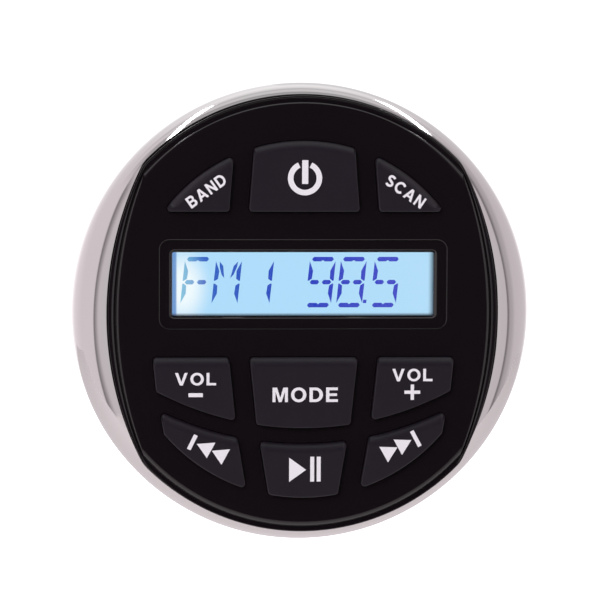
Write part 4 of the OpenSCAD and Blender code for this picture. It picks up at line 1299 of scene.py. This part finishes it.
class ReceiverStage(bpy.types.Operator):
    """Pale floor, light tent, soft lamps and the camera"""

    bl_idname = "receiver.stage"
    bl_label = "Stage"

    def execute(self, context):
        s = context.scene.receiver_sizes
        context.scene.view_settings.view_transform = "Standard"
        self.floor(context, s)
        self.tent(context)
        for name, lamp in LAMPS.items():
            self.lamp(context, name, *lamp)
        self.camera(context, s)
        return {"FINISHED"}

    def floor(self, context, s):
        """Pale floor, some way below the receiver, that falls into shade towards the front."""
        bm = bmesh.new()
        outline = FLOOR_RIGHT + [(-x, y) for x, y in reversed(FLOOR_RIGHT)]
        bm.faces.new([bm.verts.new((x, y, -s.floor_drop)) for x, y in outline])
        mesh = bpy.data.meshes.new("studio_floor")
        bm.to_mesh(mesh)
        bm.free()
        made, tree, places = new_material("matt_floor_paint")
        grain = add(tree, "TexNoise", {"Vector": places}, {"Scale": 40.0, "Detail": 3.0})
        gloss = add(tree, "MapRange", {"Value": grain}, {"To Min": 0.8, "To Max": 0.95})
        y = add(tree, "SeparateXYZ", {0: places}).outputs["Y"]
        near, far = FLOOR_SHADE
        shade = add(tree, "MapRange", {"Value": y}, {"From Min": near, "From Max": far})
        seen = plainly_seen(tree)
        open_part = add(tree, "Math", {0: shade, 1: seen}, operation="MAXIMUM")
        pale = context.scene.receiver_colours.floor
        toned = add(tree, "Mix", {0: open_part}, {6: shaded(pale, -0.8), 7: shaded(pale, 0)}, data_type="RGBA")
        lift = add(tree, "Math", {0: seen}, {1: 0.45}, operation="MULTIPLY")
        shader = add(
            tree, "BsdfPrincipled",
            {"Base Color": toned.outputs[2], "Roughness": gloss, "Emission Strength": lift},
            {"Specular IOR Level": 0.0, "Emission Color": (1, 1, 1, 1)},
        )
        add(tree, "OutputMaterial", {"Surface": shader})
        mesh.materials.append(made)
        floor = bpy.data.objects.new("studio_floor", mesh)
        context.scene.collection.objects.link(floor)

    def tent(self, context):
        """White light tent with a dark gap on the camera's side that widens upwards; the camera sees plain white."""
        world = bpy.data.worlds.new("light_tent")
        context.scene.world = world
        world.use_nodes = True
        tree = world.node_tree
        tree.nodes.clear()
        places = add(tree, "TexCoord")
        x, y, z = add(tree, "SeparateXYZ", {0: places.outputs["Generated"]}).outputs
        front = add(tree, "Math", {0: y}, {1: -1.0}, operation="MULTIPLY")
        round_about = add(tree, "Math", {0: x, 1: front}, operation="ARCTAN2")
        steep = add(tree, "Math", {0: z, 1: z}, operation="MULTIPLY")
        bow = add(tree, "Math", {0: steep}, {1: SEAM_BOW, 2: 1.0}, operation="MULTIPLY_ADD")
        bowed = add(tree, "Math", {0: round_about, 1: bow}, operation="DIVIDE")
        ramps = []
        for source, reach, span, stops in ((bowed, math.pi, 360, TENT_WALLS), (y, 1.0, 2, TENT_ROOF)):
            share = add(tree, "MapRange", {"Value": source}, {"From Min": -reach, "From Max": reach})
            ramp = add(tree, "ValToRGB", {"Fac": share})
            elements = ramp.color_ramp.elements
            while len(elements) < len(stops):
                elements.new(0.5)
            for element, (place, tone) in zip(elements, stops):
                element.position = place / span + 0.5
                element.color = (tone, tone, tone, 1)
            ramps.append(ramp)
        walls, roof = ramps
        height = add(
            tree, "MapRange", {"Value": z}, {"From Min": 0.5, "From Max": 0.8}, interpolation_type="SMOOTHSTEP"
        )
        cloth = add(tree, "Mix", {0: height, 2: walls, 3: roof}, data_type="FLOAT")
        upward = add(tree, "Math", {0: z}, operation="ARCSINE")
        aside = add(tree, "Math", {0: round_about}, operation="ABSOLUTE")
        spread = add(
            tree, "MapRange", {"Value": upward},
            {"From Min": 0.0, "From Max": 1.0, "To Min": 0.35, "To Max": 0.95},
        )
        beside = add(tree, "Math", {0: aside, 1: spread}, operation="SUBTRACT")
        gap = None
        for source, outside, inside in ((beside, 0.2, -0.15), (upward, -0.5, -0.3), (upward, 1.15, 1.0)):
            share = add(
                tree, "MapRange", {"Value": source}, {"From Min": outside, "From Max": inside},
                interpolation_type="SMOOTHSTEP",
            )
            gap = add(tree, "Math", {0: gap, 1: share}, operation="MULTIPLY") if gap else share
        opening = add(tree, "Mix", {0: gap, 2: cloth}, {3: GAP_LIGHT}, data_type="FLOAT")
        seen = plainly_seen(tree)
        level = add(tree, "Math", {0: opening, 1: seen}, operation="MAXIMUM")
        flank = add(tree, "Math", {0: x}, operation="ABSOLUTE")
        plain = add(tree, "MapRange", {"Value": flank}, {"From Min": 0.8, "From Max": 0.2})
        untinted = add(tree, "Math", {0: seen, 1: plain}, operation="MAXIMUM")
        pale = shaded(context.scene.receiver_colours.tent, 0)
        tinted = add(tree, "Mix", {0: untinted}, {6: pale, 7: (1, 1, 1, 1)}, data_type="RGBA")
        light = add(tree, "Background", {"Color": tinted.outputs[2], "Strength": level})
        add(tree, "OutputWorld", {"Surface": light})

    def lamp(self, context, name, place, size, power, hidden_from):
        """Soft lamp that looks at the receiver."""
        data = bpy.data.lights.new(name, "AREA")
        data.shape, data.energy = "RECTANGLE", power
        data.size, data.size_y = size
        made = bpy.data.objects.new(name, data)
        made.location = place
        made.rotation_mode = "QUATERNION"
        made.rotation_quaternion = (-Vector(place)).to_track_quat("-Z", "Y")
        setattr(made, hidden_from, False)
        context.scene.collection.objects.link(made)

    def camera(self, context, s):
        """Camera in front, a little to the left and above."""
        data = bpy.data.cameras.new("camera")
        data.sensor_width, data.lens = SENSOR, LENS
        a, e = s.view_azimuth, s.view_elevation
        back = Vector((math.sin(a) * math.cos(e), -math.cos(a) * math.cos(e), math.sin(e)))
        made = bpy.data.objects.new("camera", data)
        made.location = mm(*LOOK_AT) + back * s.view_distance
        made.rotation_mode = "QUATERNION"
        made.rotation_quaternion = (-back).to_track_quat("-Z", "Y") @ Quaternion((0, 0, 1), s.view_roll)
        context.scene.collection.objects.link(made)
        context.scene.camera = made


class ReceiverPanel(bpy.types.Panel):
    """Buttons and sizes of the receiver"""

    bl_idname = "VIEW3D_PT_receiver"
    bl_label = "Receiver"
    bl_space_type = "VIEW_3D"
    bl_region_type = "UI"
    bl_category = "Receiver"

    def draw(self, context):
        for builder in BUILDERS:
            self.layout.operator(builder.bl_idname)
        for group in (context.scene.receiver_sizes, context.scene.receiver_colours):
            for name in group.__annotations__:
                self.layout.prop(group, name)


BUILDERS = [
    ReceiverBezel, ReceiverFace, ReceiverKeys, ReceiverLegends, ReceiverDisplay, ReceiverRear, ReceiverHousing,
    ReceiverStage,
]
CLASSES = [ReceiverSizes, ReceiverColours, *BUILDERS, ReceiverPanel]


def register():
    for cls in CLASSES:
        bpy.utils.register_class(cls)
    bpy.types.Scene.receiver_sizes = PointerProperty(type=ReceiverSizes)
    bpy.types.Scene.receiver_colours = PointerProperty(type=ReceiverColours)


def unregister():
    del bpy.types.Scene.receiver_colours
    del bpy.types.Scene.receiver_sizes
    for cls in reversed(CLASSES):
        bpy.utils.unregister_class(cls)


def main():
    """Builds the receiver in order."""
    register()
    bpy.ops.receiver.bezel()
    bpy.ops.receiver.face()
    bpy.ops.receiver.keys()
    bpy.ops.receiver.legends()
    bpy.ops.receiver.display()
    bpy.ops.receiver.rear()
    bpy.ops.receiver.housing()
    bpy.ops.receiver.stage()


if __name__ == "__main__":
    main()
